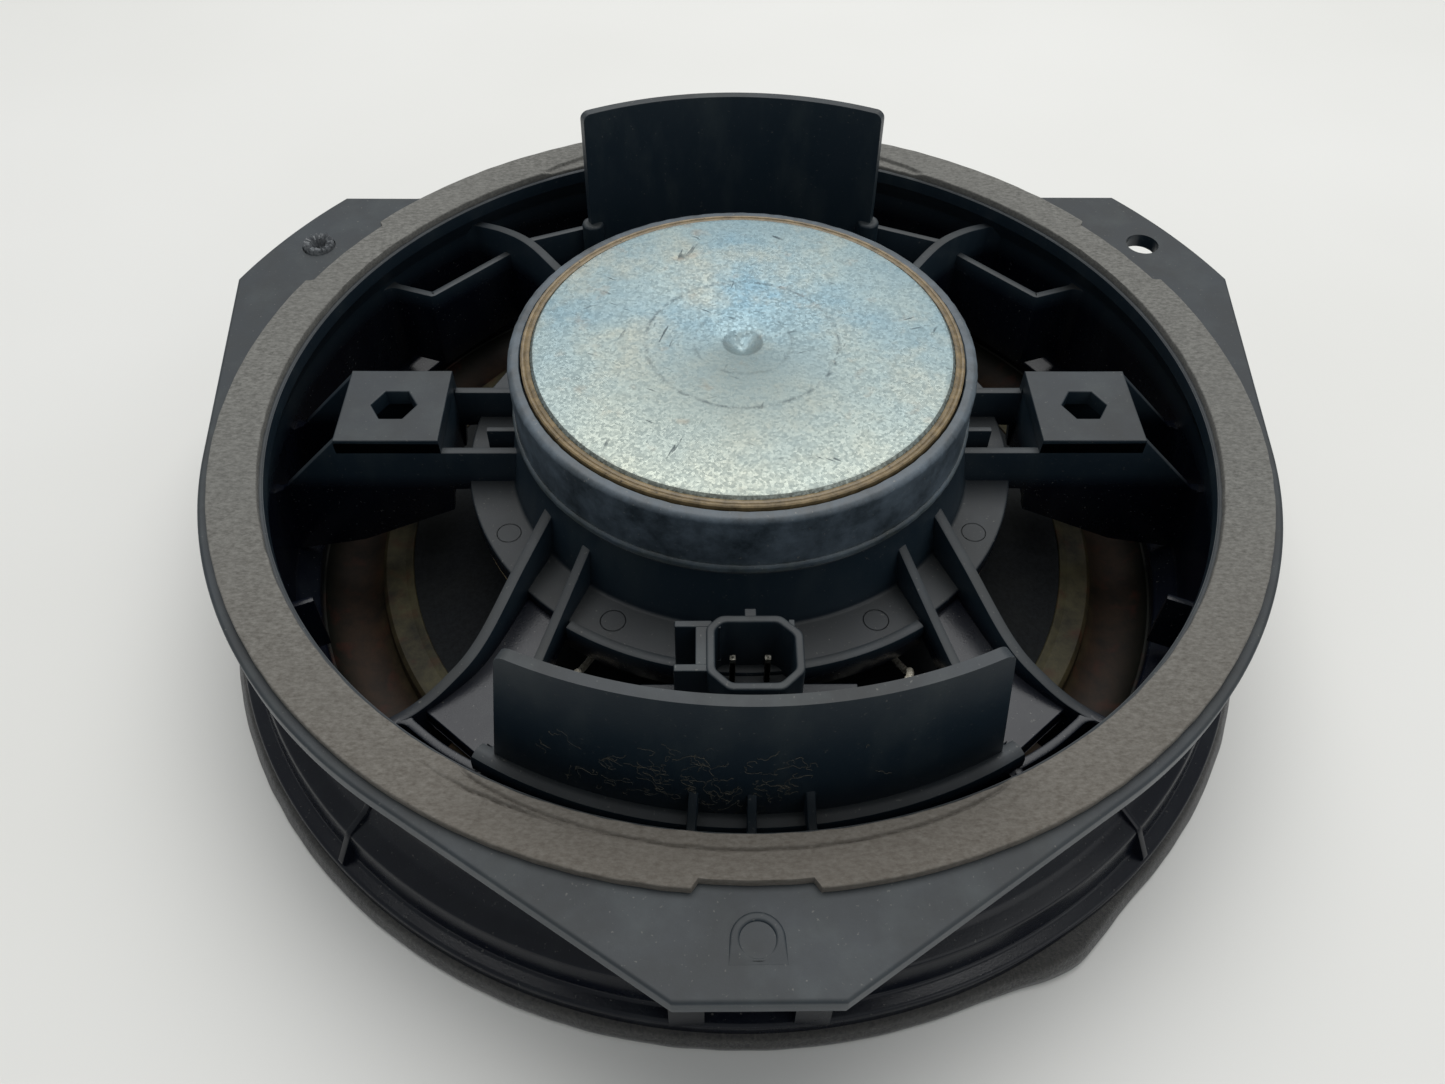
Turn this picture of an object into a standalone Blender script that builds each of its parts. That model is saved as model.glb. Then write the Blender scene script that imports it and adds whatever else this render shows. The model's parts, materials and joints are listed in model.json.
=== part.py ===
"""Car subwoofer speaker, lying on its front rim with the magnet up.

Every size below is in millimetres and becomes metres only where a mesh is made. Z runs along the
speaker's own axis, from the table at Z = 0 up through the magnet, and -Y is the side with the
connector. The speaker's axis stands at (0, AXIS_Y), which centres the outline on the origin.
"""

import math

import bmesh
import bpy

MM = 0.001
GAP = 0.3
AXIS_Y = 3.7
FINE = 60
COARSE = 40

# Mounting flange, its three ears and the two gaskets.
FLANGE_TOP = 47.0
FLANGE_THICK = 3.2
FLANGE_R = 106.0
EAR_ANGLES = (-90.0, 29.7, 150.9)
EAR_TIP_R = 119.9
EAR_TIP_HALF = (5.8, 9.0, 8.8)
EAR_BACK_EDGE = 7.2
EAR_HOLE_CIRCLE = 111.0
EAR_HOLE_ANGLES = (30.0, 150.9)
EAR_HOLE_R = 3.75
EAR_BOSS_R = 4.0
EAR_BOSS_RISE = 0.45
RIM_R = 109.8
RIM_BOTTOM = 3.3
DRUM_INNER_R = 94.0
DRUM_WALL_R = (96.6, 98.8)
DRUM_TIE_R = 97.4
REAR_GASKET_R = (94.8, 104.0)
REAR_GASKET_THICK = 1.3
FRONT_GASKET_R = (100.6, 111.7)
FRONT_GASKET_THICK = 3.0
NOTCH_HALF = (5.0, 7.0, 6.9)
NOTCH_DEPTH = 1.6

# Motor.
PLATE_R = 41.0
PLATE_TOP = 63.6
PLATE_BOTTOM = 57.5
POLE_R = 18.0
POLE_BOTTOM = 40.5
FERRITE_R = 42.8
FERRITE_BORE = 24.0
MOTOR_BASE = 49.0
BOOT_R = 45.3
BOOT_SHOULDER = 1.2
BEAD_R = (41.2, 42.6)
TOP_PLATE_R = 41.0
TOP_PLATE_BORE = 21.3
TOP_PLATE_Z = (41.3, 48.7)

# Moving parts: coil former and winding, spider, cone, cap and surround.
FORMER_R = (19.0, 19.4)
FORMER_Z = (24.0, 51.6)
WINDING_R = 20.6
WINDING_Z = (38.0, 51.0)
CONE_NECK = (19.8, 26.0)
CONE_EDGE = (74.0, 9.3)
CONE_THICK = 0.7
CONE_LIP_R = 78.0
CAP_R = 26.0
SPIDER_Z = 30.9
SPIDER_THICK = 0.5
SPIDER_R = (19.7, 56.2)
SURROUND_Z = 8.2
SURROUND_THICK = 0.8
SURROUND_R = (74.4, 78.4, 91.6, 99.9)
ROLL_DEPTH = 4.2
ROLL_STEPS = 7
CAP_STEPS = 4
CAP_RISE = 5.0
CAP_THICK = 0.5

# Basket hub, deck and the two hexagon nut pads on their box spokes.
HUB_TOP_R = 45.2
HUB_FOOT_R = 47.4
DECK_TOP = 35.5
DECK_EDGE_R = 56.4
DECK_LIP_R = 57.4
DECK_LIP_TOP = 37.5
DECK_LIP_HALF = 34.0
DECK_BOTTOM = 31.6
RIB_THICK = 1.8
PAD_CENTRE = 70.4
PAD_HALF = 10.4
PAD_THICK = 3.5
HEX_R = 4.6

# Shield walls that guard the harness and the magnet's front and back.
FRONT_WALL_R = 85.0
FRONT_WALL_TOP = 69.5
BACK_WALL_R = 73.0
BACK_WALL_TOP = 74.5
WALL_THICK = 2.0
WALL_HALF = 26.6
BACK_WALL_LEFT_HALF = 28.2

# Connector socket and its two pins.
SOCKET_TOP = 50.0
SOCKET_FLOOR = 36.0
SOCKET_X = (-7.2, 9.2)
SOCKET_Y = (-70.5, -55.4)
SOCKET_WALL = 1.5
BRACKET_REACH = 5.4
PLATFORM_Z = (31.9, 34.3)
PIN_X = (-2.6, 3.5)
PIN_Y = -59.5
PIN_TIP = 43.2
PIN_HALF = 0.5
TAG_Z = 27.6
LEAD_R = 0.8


def clear_scene():
    """Removes what the startup scene holds."""
    for obj in list(bpy.data.objects):
        bpy.data.objects.remove(obj)


def material(name, colour, roughness, metallic=0.0):
    """A Principled material with one linear colour."""
    made = bpy.data.materials.new(name)
    made.use_nodes = True
    shader = made.node_tree.nodes["Principled BSDF"]
    shader.inputs["Base Color"].default_value = (*colour, 1.0)
    shader.inputs["Roughness"].default_value = roughness
    shader.inputs["Metallic"].default_value = metallic
    return made


def make_object(name, points, faces, smooth=True):
    """A closed mesh object from points in millimetres, with its faces turned outwards."""
    mesh = bpy.data.meshes.new(name)
    mesh.from_pydata([(x * MM, y * MM, z * MM) for x, y, z in points], [], faces)
    work = bmesh.new()
    work.from_mesh(mesh)
    bmesh.ops.remove_doubles(work, verts=work.verts, dist=1e-7)
    bmesh.ops.recalc_face_normals(work, faces=work.faces)
    if work.calc_volume(signed=True) < 0:
        bmesh.ops.reverse_faces(work, faces=work.faces)
    work.to_mesh(mesh)
    work.free()
    if smooth:
        mesh.shade_smooth()
        mesh.set_sharp_from_angle(angle=math.radians(35))
    obj = bpy.data.objects.new(name, mesh)
    bpy.context.scene.collection.objects.link(obj)
    obj.parent = bpy.data.objects["speaker_axis"]
    return obj


def dress(obj, look):
    """Gives the object its material."""
    obj.data.materials.append(look)
    return obj


def polar(radius, degrees):
    """The point at this radius and angle about the speaker's axis."""
    angle = math.radians(degrees)
    return radius * math.cos(angle), radius * math.sin(angle)


def lathe(name, profile, segments=FINE):
    """A solid of revolution from a closed outline of (radius, height) points."""
    rows = len(profile)
    points = []
    for step in range(segments):
        for radius, height in profile:
            x, y = polar(radius, 360 * step / segments)
            points.append((x, y, height))
    faces = []
    for step in range(segments):
        here, there = step * rows, (step + 1) % segments * rows
        for row in range(rows):
            after = (row + 1) % rows
            if profile[row][0] == 0 and profile[after][0] == 0:
                continue
            faces.append((here + row, here + after, there + after, there + row))
    return make_object(name, points, faces)


def disc_lathe(name, profile, segments=COARSE):
    """As lathe, for an outline whose first and last points lie on the axis."""
    rows = len(profile) - 2
    points = [(0.0, 0.0, profile[0][1]), (0.0, 0.0, profile[-1][1])]
    for step in range(segments):
        for radius, height in profile[1:-1]:
            x, y = polar(radius, 360 * step / segments)
            points.append((x, y, height))
    faces = []
    for step in range(segments):
        here, there = 2 + step * rows, 2 + (step + 1) % segments * rows
        faces.append((0, here, there))
        faces.append((1, there + rows - 1, here + rows - 1))
        for row in range(rows - 1):
            faces.append((here + row, here + row + 1, there + row + 1, there + row))
    return make_object(name, points, faces)


def prism(name, outline, bottom, top):
    """A flat plate: an (x, y) outline between two heights."""
    count = len(outline)
    points = [(x, y, z) for z in (bottom, top) for x, y in outline]
    faces = [tuple(range(count)), tuple(range(count, 2 * count))]
    for i in range(count):
        j = (i + 1) % count
        faces.append((i, j, count + j, count + i))
    return make_object(name, points, faces, smooth=False)


def box(name, low, high):
    """A box between two corners."""
    outline = [(low[0], low[1]), (high[0], low[1]), (high[0], high[1]), (low[0], high[1])]
    return prism(name, outline, low[2], high[2])


def rib(name, stations, thickness=RIB_THICK):
    """An upright plate along a path of (x, y, bottom, top) stations, mitred at each bend."""
    count = len(stations)
    points = []
    for i, (x, y, bottom, top) in enumerate(stations):
        x0, y0 = stations[max(i - 1, 0)][:2]
        x1, y1 = stations[min(i + 1, count - 1)][:2]
        length = math.hypot(x1 - x0, y1 - y0)
        nx, ny = -(y1 - y0) / length, (x1 - x0) / length
        half = thickness / 2
        for side, z in ((half, bottom), (half, top), (-half, top), (-half, bottom)):
            points.append((x + side * nx, y + side * ny, z))
    faces = [(0, 1, 2, 3), tuple(4 * count - 4 + k for k in range(4))]
    for i in range(count - 1):
        for k in range(4):
            n = (k + 1) % 4
            faces.append((4 * i + k, 4 * i + n, 4 * i + 4 + n, 4 * i + 4 + k))
    return make_object(name, points, faces, smooth=False)


def arc_wall(name, radius, centre, tops, bottom, thickness=WALL_THICK):
    """An upright wall on an arc: tops is a list of (angle from the centre, top height)."""
    stations = [(*polar(radius, centre + offset), bottom, top) for offset, top in tops]
    return rib(name, stations, thickness)


def tube(name, path, radius):
    """A round cord along a path of points, with filled ends."""
    data = bpy.data.curves.new(name, "CURVE")
    data.dimensions = "3D"
    data.bevel_depth = radius * MM
    data.bevel_resolution = 2
    data.resolution_u = 4
    data.use_fill_caps = True
    spline = data.splines.new("BEZIER")
    spline.bezier_points.add(len(path) - 1)
    for knot, (x, y, z) in zip(spline.bezier_points, path):
        knot.co = (x * MM, y * MM, z * MM)
        knot.handle_left_type = "AUTO"
        knot.handle_right_type = "AUTO"
    obj = bpy.data.objects.new(name, data)
    bpy.context.scene.collection.objects.link(obj)
    obj.parent = bpy.data.objects["speaker_axis"]
    return obj


def helper(obj, group):
    """Moves a building block into a hidden collection."""
    obj.hide_render = True
    obj.display_type = "WIRE"
    bpy.context.scene.collection.objects.unlink(obj)
    group.objects.link(obj)


def hidden_group(name):
    """A collection for building blocks."""
    group = bpy.data.collections.new(name)
    bpy.context.scene.collection.children.link(group)
    return group


def boolean(obj, operation, group):
    """Joins or cuts the object with everything in a collection."""
    modifier = obj.modifiers.new(operation.lower(), "BOOLEAN")
    modifier.operation = operation
    modifier.operand_type = "COLLECTION"
    modifier.collection = group
    modifier.solver = "EXACT"


def flange_radius(degrees):
    """The flange's outer radius: a circle with three ears. The front ear has a straight tip, the
    back ears a curved one. A tangent line runs from each tip's corner to the circle, except that
    the back ears' rear edges run straight across, at right angles to the front-to-back line."""
    tangent = math.degrees(math.acos(FLANGE_R / EAR_TIP_R))
    for centre, half in zip(EAR_ANGLES, EAR_TIP_HALF):
        away = (degrees - centre + 180) % 360 - 180
        front = centre == EAR_ANGLES[0]
        if abs(away) <= half:
            flat = math.cos(math.radians(half)) / math.cos(math.radians(away))
            return EAR_TIP_R * (flat if front else 1.0)
        rear = not front and (away > 0) == (centre < 90)
        if rear and abs(away) <= half + EAR_BACK_EDGE:
            corner = math.radians(half + min(centre, 180 - centre))
            here = math.radians(abs(away) + min(centre, 180 - centre))
            return max(FLANGE_R, EAR_TIP_R * math.sin(corner) / math.sin(here))
        if not rear and abs(away) <= half + tangent:
            return FLANGE_R / math.cos(math.radians(half + tangent - abs(away)))
    return FLANGE_R


def ring_plate(name, outer, inner, bottom, top, angles):
    """A flat ring whose outer radius is a function of the angle."""
    points = []
    for angle in angles:
        for radius in (outer(angle), inner):
            x, y = polar(radius, angle)
            points += [(x, y, bottom), (x, y, top)]
    faces = []
    count = len(angles)
    for i in range(count):
        here, there = 4 * i, 4 * ((i + 1) % count)
        for a, b in ((0, 1), (1, 3), (3, 2), (2, 0)):
            faces.append((here + a, here + b, there + b, there + a))
    return make_object(name, points, faces)


def flange_plate():
    """The flange with its three ears."""
    tangent = math.degrees(math.acos(FLANGE_R / EAR_TIP_R))
    angles = {360 * step / FINE for step in range(FINE)}
    for centre, half in zip(EAR_ANGLES, EAR_TIP_HALF):
        for offset in (half, half / 2, half + EAR_BACK_EDGE, half + tangent):
            angles |= {(centre + offset) % 360, (centre - offset) % 360}
    bottom = FLANGE_TOP - FLANGE_THICK
    return ring_plate("flange", flange_radius, 94.3, bottom, FLANGE_TOP, sorted(angles))


def drum():
    """The drum between the flange and the front rim, with the ledge that the surround is glued to."""
    land = SURROUND_Z + SURROUND_THICK + GAP
    profile = [
        (DRUM_INNER_R, FLANGE_TOP - 0.2),
        (DRUM_INNER_R, FLANGE_TOP - 3.0),
        (DRUM_WALL_R[0], FLANGE_TOP - 8.0),
        (DRUM_WALL_R[0], 14.0),
        (92.0, 12.0),
        (92.0, land),
        (100.3, land),
        (100.3, RIM_BOTTOM),
        (RIM_R, RIM_BOTTOM),
        (RIM_R, 6.2),
        (106.8, 6.8),
        (106.2, 11.4),
        (105.2, 13.2),
        (102.6, 14.5),
        (100.2, 16.6),
        (DRUM_WALL_R[1], 20.0),
        (DRUM_WALL_R[1], FLANGE_TOP - 0.2),
    ]
    return lathe("drum", profile)


def hub_and_deck():
    """The collar under the magnet and the flat deck ring around it."""
    profile = [
        (TOP_PLATE_R + GAP, TOP_PLATE_Z[1]),
        (HUB_TOP_R, TOP_PLATE_Z[1]),
        (HUB_FOOT_R, DECK_TOP),
        (DECK_EDGE_R, DECK_TOP),
        (DECK_EDGE_R, DECK_BOTTOM),
        (52.0, DECK_BOTTOM),
        (50.0, 33.0),
        (45.0, 33.0),
        (42.0, 38.3),
        (36.0, 38.3),
        (36.0, TOP_PLATE_Z[0] - GAP),
        (TOP_PLATE_R + GAP, TOP_PLATE_Z[0] - GAP),
    ]
    return lathe("hub", profile, COARSE)


def deck_lip():
    """The raised lip along the deck's front edge."""
    steps = [-DECK_LIP_HALF + DECK_LIP_HALF * k / 6 for k in range(13)]
    tops = [(offset, DECK_LIP_TOP) for offset in steps]
    return arc_wall("deck_lip", DECK_LIP_R, -90.0, tops, DECK_BOTTOM + 0.1, 2.4)


def drum_gussets():
    """Thin triangular gussets that stand on the front rim and lean on the drum, two for each ear."""
    made = []
    for centre in EAR_ANGLES:
        for offset in (-43.0, 43.0):
            line = ((98.4, 15.0, 21.0), (101.8, 12.0, 17.0), (105.8, 5.0, 13.6), (109.3, 5.0, 7.6))
            stations = [(*polar(radius, centre + offset), low, top) for radius, low, top in line]
            made.append(rib(f"drum_gusset_{centre}_{offset}", stations, 1.3))
    return made


def drum_tab(side):
    """A short rib on the drum's inner wall, in front of each nut pad."""
    stations = []
    for radius in (90.8, DRUM_TIE_R):
        x, y = polar(radius, -23.5)
        stations.append((side * x, y, 16.0, 30.0))
    return rib(f"drum_tab_{side}", stations, 1.5)


def ear_columns():
    """Two square columns under each ear, with a pocket between them."""
    made = []
    for centre in EAR_ANGLES:
        for side in (-1, 1):
            cos, sin = polar(1.0, centre)
            middle = side * 10.6
            lows = ((97.0, 20.2), (101.2, 14.2), (104.8, 5.2), (109.2, 5.2))
            stations = []
            for radius, low in lows:
                x, y = radius * cos - middle * sin, radius * sin + middle * cos
                stations.append((x, y, low, 45.2))
            made.append(rib(f"ear_column_{centre}_{side}", stations, 6.0))
    return made


def ear_boss():
    """The low U-shaped boss on the front ear, where the ear has no open hole."""
    middle = -EAR_HOLE_CIRCLE + 0.6
    rounded = [polar(EAR_BOSS_R, 15 * k) for k in range(13)]
    outline = [(x, middle + y) for x, y in rounded]
    outline += [(-EAR_BOSS_R, middle - 3.6), (EAR_BOSS_R, middle - 3.6)]
    return prism("ear_boss", outline, FLANGE_TOP - 0.5, FLANGE_TOP + EAR_BOSS_RISE)


def pad_spoke(side):
    """One nut pad on its two sloping side walls, with the ribs that run in to the hub."""
    made = []
    for sign, inner_top in ((-1, 43.5), (1, 42.4)):
        y = sign * (PAD_HALF - RIB_THICK / 2) + 0.1
        x_in, x_out = PAD_CENTRE - PAD_HALF, PAD_CENTRE + PAD_HALF
        stations = [
            (side * 42.5, y, 33.6, inner_top),
            (side * 47.0, y, 33.6, inner_top),
            (side * 59.2, y, 33.0, inner_top),
            (side * (x_in - 0.1), y, 27.0, inner_top),
            (side * x_in, y, 26.8, FLANGE_TOP - 0.3),
            (side * x_out, y, 17.2, FLANGE_TOP - 0.3),
            (side * 94.2, y, 14.5, 32.8),
            (side * 97.0, y, 14.5, 32.2),
        ]
        made.append(rib(f"spoke_wall_{side}_{sign}", stations))
    near, far = sorted((side * (PAD_CENTRE - PAD_HALF), side * (PAD_CENTRE + PAD_HALF)))
    pad = box(
        f"pad_{side}",
        (near, -PAD_HALF + 0.1, FLANGE_TOP - PAD_THICK),
        (far, PAD_HALF + 0.1, FLANGE_TOP),
    )
    made.append(pad)
    near, far = sorted((side * (PAD_CENTRE - PAD_HALF + 0.2), side * (PAD_CENTRE - PAD_HALF + 2.0)))
    made.append(box(f"pad_end_{side}", (near, -PAD_HALF + 1, 27.5), (far, PAD_HALF - 1, 46.0)))
    stations = [(side * 42.6, 0.0, 34.2, 40.3), (side * 52.5, 0.0, 34.2, 40.3)]
    made.append(rib(f"mid_rib_{side}", stations, 1.4))
    web = [(side * 42.0, 9.5), (side * 53.0, 9.9), (side * 47.2, 21.2), (side * 41.0, 21.0)]
    made.append(prism(f"spoke_web_{side}", web, 39.6, 42.1))
    return made


def front_spoke(side):
    """A front spoke: a long curved rib, a straight inner rib and the floor between them."""
    outer = [
        (side * 35.4, -23.0, 33.8, 45.4),
        (side * 41.5, -37.5, 32.6, 42.0),
        (side * 47.6, -52.0, 26.0, 38.2),
        (side * 52.5, -58.5, 21.0, 36.0),
        (side * 58.8, -64.2, 18.0, 34.2),
        (side * 68.2, -69.5, 15.5, 33.0),
    ]
    inner = [
        (side * 28.2, -32.4, 34.0, 45.2),
        (side * 36.2, -53.0, 30.9, 38.0),
        (side * 42.6, -74.2, 24.0, 36.4),
    ]
    branch = [
        (side * 59.6, -65.0, 18.6, 33.8),
        (side * 52.6, -70.8, 18.6, 33.7),
        (side * 44.4, -75.9, 18.6, 33.6),
    ]
    tie = [(side * 43.2, -71.9, 18.6, 34.4), (side * 50.2, -83.4, 18.6, 33.0)]
    floor = [
        (side * 42.8, -37.0),
        (side * 32.0, -41.0),
        (side * 36.2, -52.6),
        (side * 42.0, -72.5),
        (side * 45.0, -74.0),
        (side * 57.0, -63.6),
        (side * 47.0, -52.0),
    ]
    return [
        rib(f"front_rib_{side}", outer, 2.2),
        rib(f"front_inner_rib_{side}", inner, 1.9),
        rib(f"front_branch_{side}", branch, 1.7),
        rib(f"front_tie_{side}", tie, 1.6),
        prism(f"front_floor_{side}", floor, 31.7, 33.4),
    ]


def back_spoke(side):
    """A back spoke: a curved rib with a bent ledge rib outside it and a cross rib inside it."""
    curved = [
        (side * 30.4, 31.4, 34.0, 46.6),
        (side * 40.7, 47.5, 31.3, 45.2),
        (side * 48.6, 58.8, 24.0, 44.6),
        (side * 55.6, 66.0, 18.0, 43.2),
        (side * 65.0, 72.6, 16.0, 41.0),
    ]
    ledge = [
        (side * 82.5, 51.8, 17.5, 38.0),
        (side * 71.4, 47.8, 17.5, 38.0),
        (side * 54.4, 65.2, 19.5, 38.0),
    ]
    cross = [(side * 51.0, 60.9, 25.0, 43.6), (side * 33.8, 68.0, 25.0, 43.6)]
    return [
        rib(f"back_rib_{side}", curved, 2.2),
        rib(f"back_ledge_{side}", ledge, 1.8),
        rib(f"back_cross_{side}", cross, 1.6),
    ]


def rounded_tops(height, right_half, left_half):
    """A wall's top line: level, with a small rounded corner at each end."""
    corner = ((0.0, 1.4), (0.3, 0.5), (1.0, 0.0))
    first = [(-right_half + along, height - drop) for along, drop in corner]
    middle = [(offset, height) for offset in (-18.0, -12.0, -6.0, 0.0, 6.0, 12.0, 18.0)]
    last = [(left_half - along, height - drop) for along, drop in reversed(corner)]
    return first + middle + last


def front_wall():
    """The front shield wall, the bead at its foot and the three fins that tie it to the drum."""
    tops = rounded_tops(FRONT_WALL_TOP, WALL_HALF, WALL_HALF)
    splayed = [(-31.2, 34.4)] + tops + [(31.2, 34.4)]
    made = [arc_wall("front_wall", FRONT_WALL_R, -90.0, splayed, 19.0)]
    bead = [(offset, 37.4) for offset in range(-30, 31, 6)]
    made.append(arc_wall("front_bead", FRONT_WALL_R + 1.9, -90.0, bead, 33.8, 3.0))
    for offset in (-6.2, 0.0, 6.2):
        x0, y0 = polar(FRONT_WALL_R + 0.2, -90 + offset)
        x1, y1 = polar(DRUM_TIE_R, -90 + offset)
        stations = [(x0, y0, 19.6, 43.0), (x1, y1, 15.2, 36.0)]
        made.append(rib(f"front_fin_{offset}", stations, 1.5))
    return made


def back_wall():
    """The back shield wall, the columns at its foot and the ribs that tie it to the hub."""
    tops = rounded_tops(BACK_WALL_TOP, WALL_HALF, BACK_WALL_LEFT_HALF)
    made = [arc_wall("back_wall", BACK_WALL_R, 90.0, tops, 24.0)]
    for side, half in ((-1, WALL_HALF), (1, BACK_WALL_LEFT_HALF)):
        x, y = polar(BACK_WALL_R, 90 + side * (half - 0.6))
        column = [(x + dx, y + dy) for dx, dy in (polar(2.6, 30 * k) for k in range(12))]
        made.append(prism(f"back_column_{side}", column, 24.5, 46.2))
        x0, y0 = polar(42.6, 90 + side * 15)
        x1, y1 = polar(BACK_WALL_R, 90 + side * 15)
        made.append(rib(f"back_stay_{side}", [(x0, y0, 34.3, 44.4), (x1, y1, 29.6, 42.0)], 2.0))
    return made


def platform():
    """The flat shelf between deck and front wall that carries the connector."""
    low, high = PLATFORM_Z
    neck = [(-12.8, -59.0), (-12.8, -54.5), (9.6, -54.5), (9.6, -59.0)]
    outline = [(-19.0, -59.0), *neck, (20.0, -59.0), (20.0, -82.8), (-19.0, -82.8)]
    return prism("platform", outline, low, high)


def socket_pocket():
    """The two boxes of room that the deck's edge leaves for the connector and its key tab."""
    low = PLATFORM_Z[1] + GAP / 2
    left, right = SOCKET_X[0] - BRACKET_REACH - GAP, SOCKET_X[1] + GAP
    back = SOCKET_Y[1] + GAP
    return (
        ((left, SOCKET_Y[0] - GAP, low), (right, back, SOCKET_TOP)),
        ((-1.0, SOCKET_Y[1] - 1.0, low + 1.0), (1.8, SOCKET_Y[1] + 2.0, SOCKET_TOP - 1.0)),
    )


def basket(look):
    """The one-piece moulded basket."""
    parts = hidden_group("basket_blocks")
    body = drum()
    body.name = "basket"
    blocks = [flange_plate(), hub_and_deck(), deck_lip(), platform(), ear_boss()]
    blocks += drum_gussets() + ear_columns() + front_wall() + back_wall()
    for side in (-1, 1):
        blocks += pad_spoke(side) + front_spoke(side) + back_spoke(side)
        blocks.append(drum_tab(side))
    for block in blocks:
        helper(block, parts)
    boolean(body, "UNION", parts)
    holes = hidden_group("basket_holes")
    for side in (-1, 1):
        hexagon = [polar(HEX_R, 60 * k) for k in range(6)]
        outline = [(side * PAD_CENTRE + x, y + 0.1) for x, y in hexagon]
        helper(prism(f"hex_cutter_{side}", outline, 42.0, 48.0), holes)
    for angle in EAR_HOLE_ANGLES:
        x, y = polar(EAR_HOLE_CIRCLE, angle)
        circle = [polar(EAR_HOLE_R, 15 * k) for k in range(24)]
        outline = [(x + dx, y + dy) for dx, dy in circle]
        helper(prism(f"ear_cutter_{angle}", outline, 40.0, 50.0), holes)
    for x in PIN_X:
        reach = PIN_HALF + GAP
        low, high = (x - reach, PIN_Y - reach, 26.0), (x + reach, PIN_Y + reach, 38.5)
        helper(box(f"pin_cutter_{x}", low, high), holes)
    for number, (low, high) in enumerate(socket_pocket()):
        helper(box(f"pocket_cutter_{number}", low, high), holes)
    boolean(body, "DIFFERENCE", holes)
    return dress(body, look)


def rear_gasket(look):
    """The grey ring gasket on the flange, notched where the ears leave it."""
    low = FLANGE_TOP + GAP

    def outer(degrees):
        for centre, half in zip(EAR_ANGLES, NOTCH_HALF):
            if abs((degrees - centre + 180) % 360 - 180) <= half + 0.01:
                return REAR_GASKET_R[1] - NOTCH_DEPTH
        return REAR_GASKET_R[1]

    angles = {360 * step / FINE for step in range(FINE)}
    for centre, half in zip(EAR_ANGLES, NOTCH_HALF):
        for offset in (-half - 0.4, -half, half, half + 0.4):
            angles.add((centre + offset) % 360)
    ring = ring_plate(
        "rear_gasket", outer, REAR_GASKET_R[0], low, low + REAR_GASKET_THICK, sorted(angles)
    )
    return dress(ring, look)


def ring_of(name, inner, outer, bottom, top, look, segments=FINE):
    """A plain ring with a square section."""
    profile = [(inner, bottom), (outer, bottom), (outer, top), (inner, top)]
    return dress(lathe(name, profile, segments), look)


def magnet_boot(look):
    """The soft dark sleeve round the magnet: a hem at its foot and a narrow flat rim on top."""
    top = PLATE_TOP - 1.1
    profile = [(FERRITE_R + GAP, MOTOR_BASE), (BOOT_R + 0.4, MOTOR_BASE)]
    profile += [(BOOT_R + 0.4, 50.2), (BOOT_R, 50.8)]
    for degrees in (0, 30, 60, 90):
        dx, dz = polar(BOOT_SHOULDER, degrees)
        profile.append((BOOT_R - BOOT_SHOULDER + dx, top - BOOT_SHOULDER + dz))
    profile.append((BEAD_R[1] + GAP, top))
    profile.append((FERRITE_R + GAP, top - 1.5))
    return dress(lathe("magnet_boot", profile, COARSE), look)


def yoke(look):
    """The steel back plate with its solid pole, and the conical dimple in the plate's centre."""
    profile = [
        (0.0, PLATE_TOP - 2.2),
        (1.2, PLATE_TOP - 2.2),
        (3.9, PLATE_TOP),
        (PLATE_R - 0.5, PLATE_TOP),
        (PLATE_R, PLATE_TOP - 0.5),
        (PLATE_R, PLATE_BOTTOM),
        (POLE_R, PLATE_BOTTOM),
        (POLE_R, POLE_BOTTOM + 1.0),
        (POLE_R - 1.0, POLE_BOTTOM),
        (0.0, POLE_BOTTOM),
    ]
    return dress(disc_lathe("yoke", profile), look)


def cone(look):
    """The paper cone, from its neck on the coil former out to the lip under the surround."""
    (r0, z0), (r1, z1) = CONE_NECK, CONE_EDGE
    middle = ((r0 + r1) / 2, (z0 + z1) / 2 - 1.2)
    profile = [
        (r0, z0),
        middle,
        (r1, z1),
        (CONE_LIP_R, z1),
        (CONE_LIP_R, z1 + CONE_THICK),
        (r1 + 0.3, z1 + CONE_THICK),
        (middle[0], middle[1] + CONE_THICK),
        (r0, z0 + CONE_THICK + 0.2),
    ]
    return dress(lathe("cone", profile), look)


def dust_cap(look):
    """The domed cap over the coil, glued to the front of the cone."""
    (r0, z0), (r1, z1) = CONE_NECK, CONE_EDGE
    rim_z = z0 + (z1 - z0) * (CAP_R - r0) / (r1 - r0) - 1.6
    shares = [k / CAP_STEPS for k in range(CAP_STEPS + 1)]
    outer = [(CAP_R * share, rim_z - CAP_RISE * (1 - share**2)) for share in shares]
    inner = [(r, z + CAP_THICK) for r, z in outer]
    profile = outer + inner[::-1]
    return dress(disc_lathe("dust_cap", profile), look)


def spider(look):
    """The corrugated cloth disc that centres the coil."""
    r0, r1 = SPIDER_R
    collar, flat = r0 + 3.0, 52.5
    waves, depth = 4, 2.0
    line = [(r0, SPIDER_Z - 3.4), (collar, SPIDER_Z - 3.0)]
    for k in range(2 * waves):
        radius = collar + (flat - collar) * (k + 1) / (2 * waves)
        line.append((radius, SPIDER_Z - (depth + 1.0 if k % 2 else 0.6)))
    line[-1] = (flat, SPIDER_Z)
    line.append((r1, SPIDER_Z))
    lower = [(r, z - SPIDER_THICK) for r, z in line]
    upper = [(r, z) for r, z in reversed(line)]
    return dress(lathe("spider", lower + upper, COARSE), look)


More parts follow.
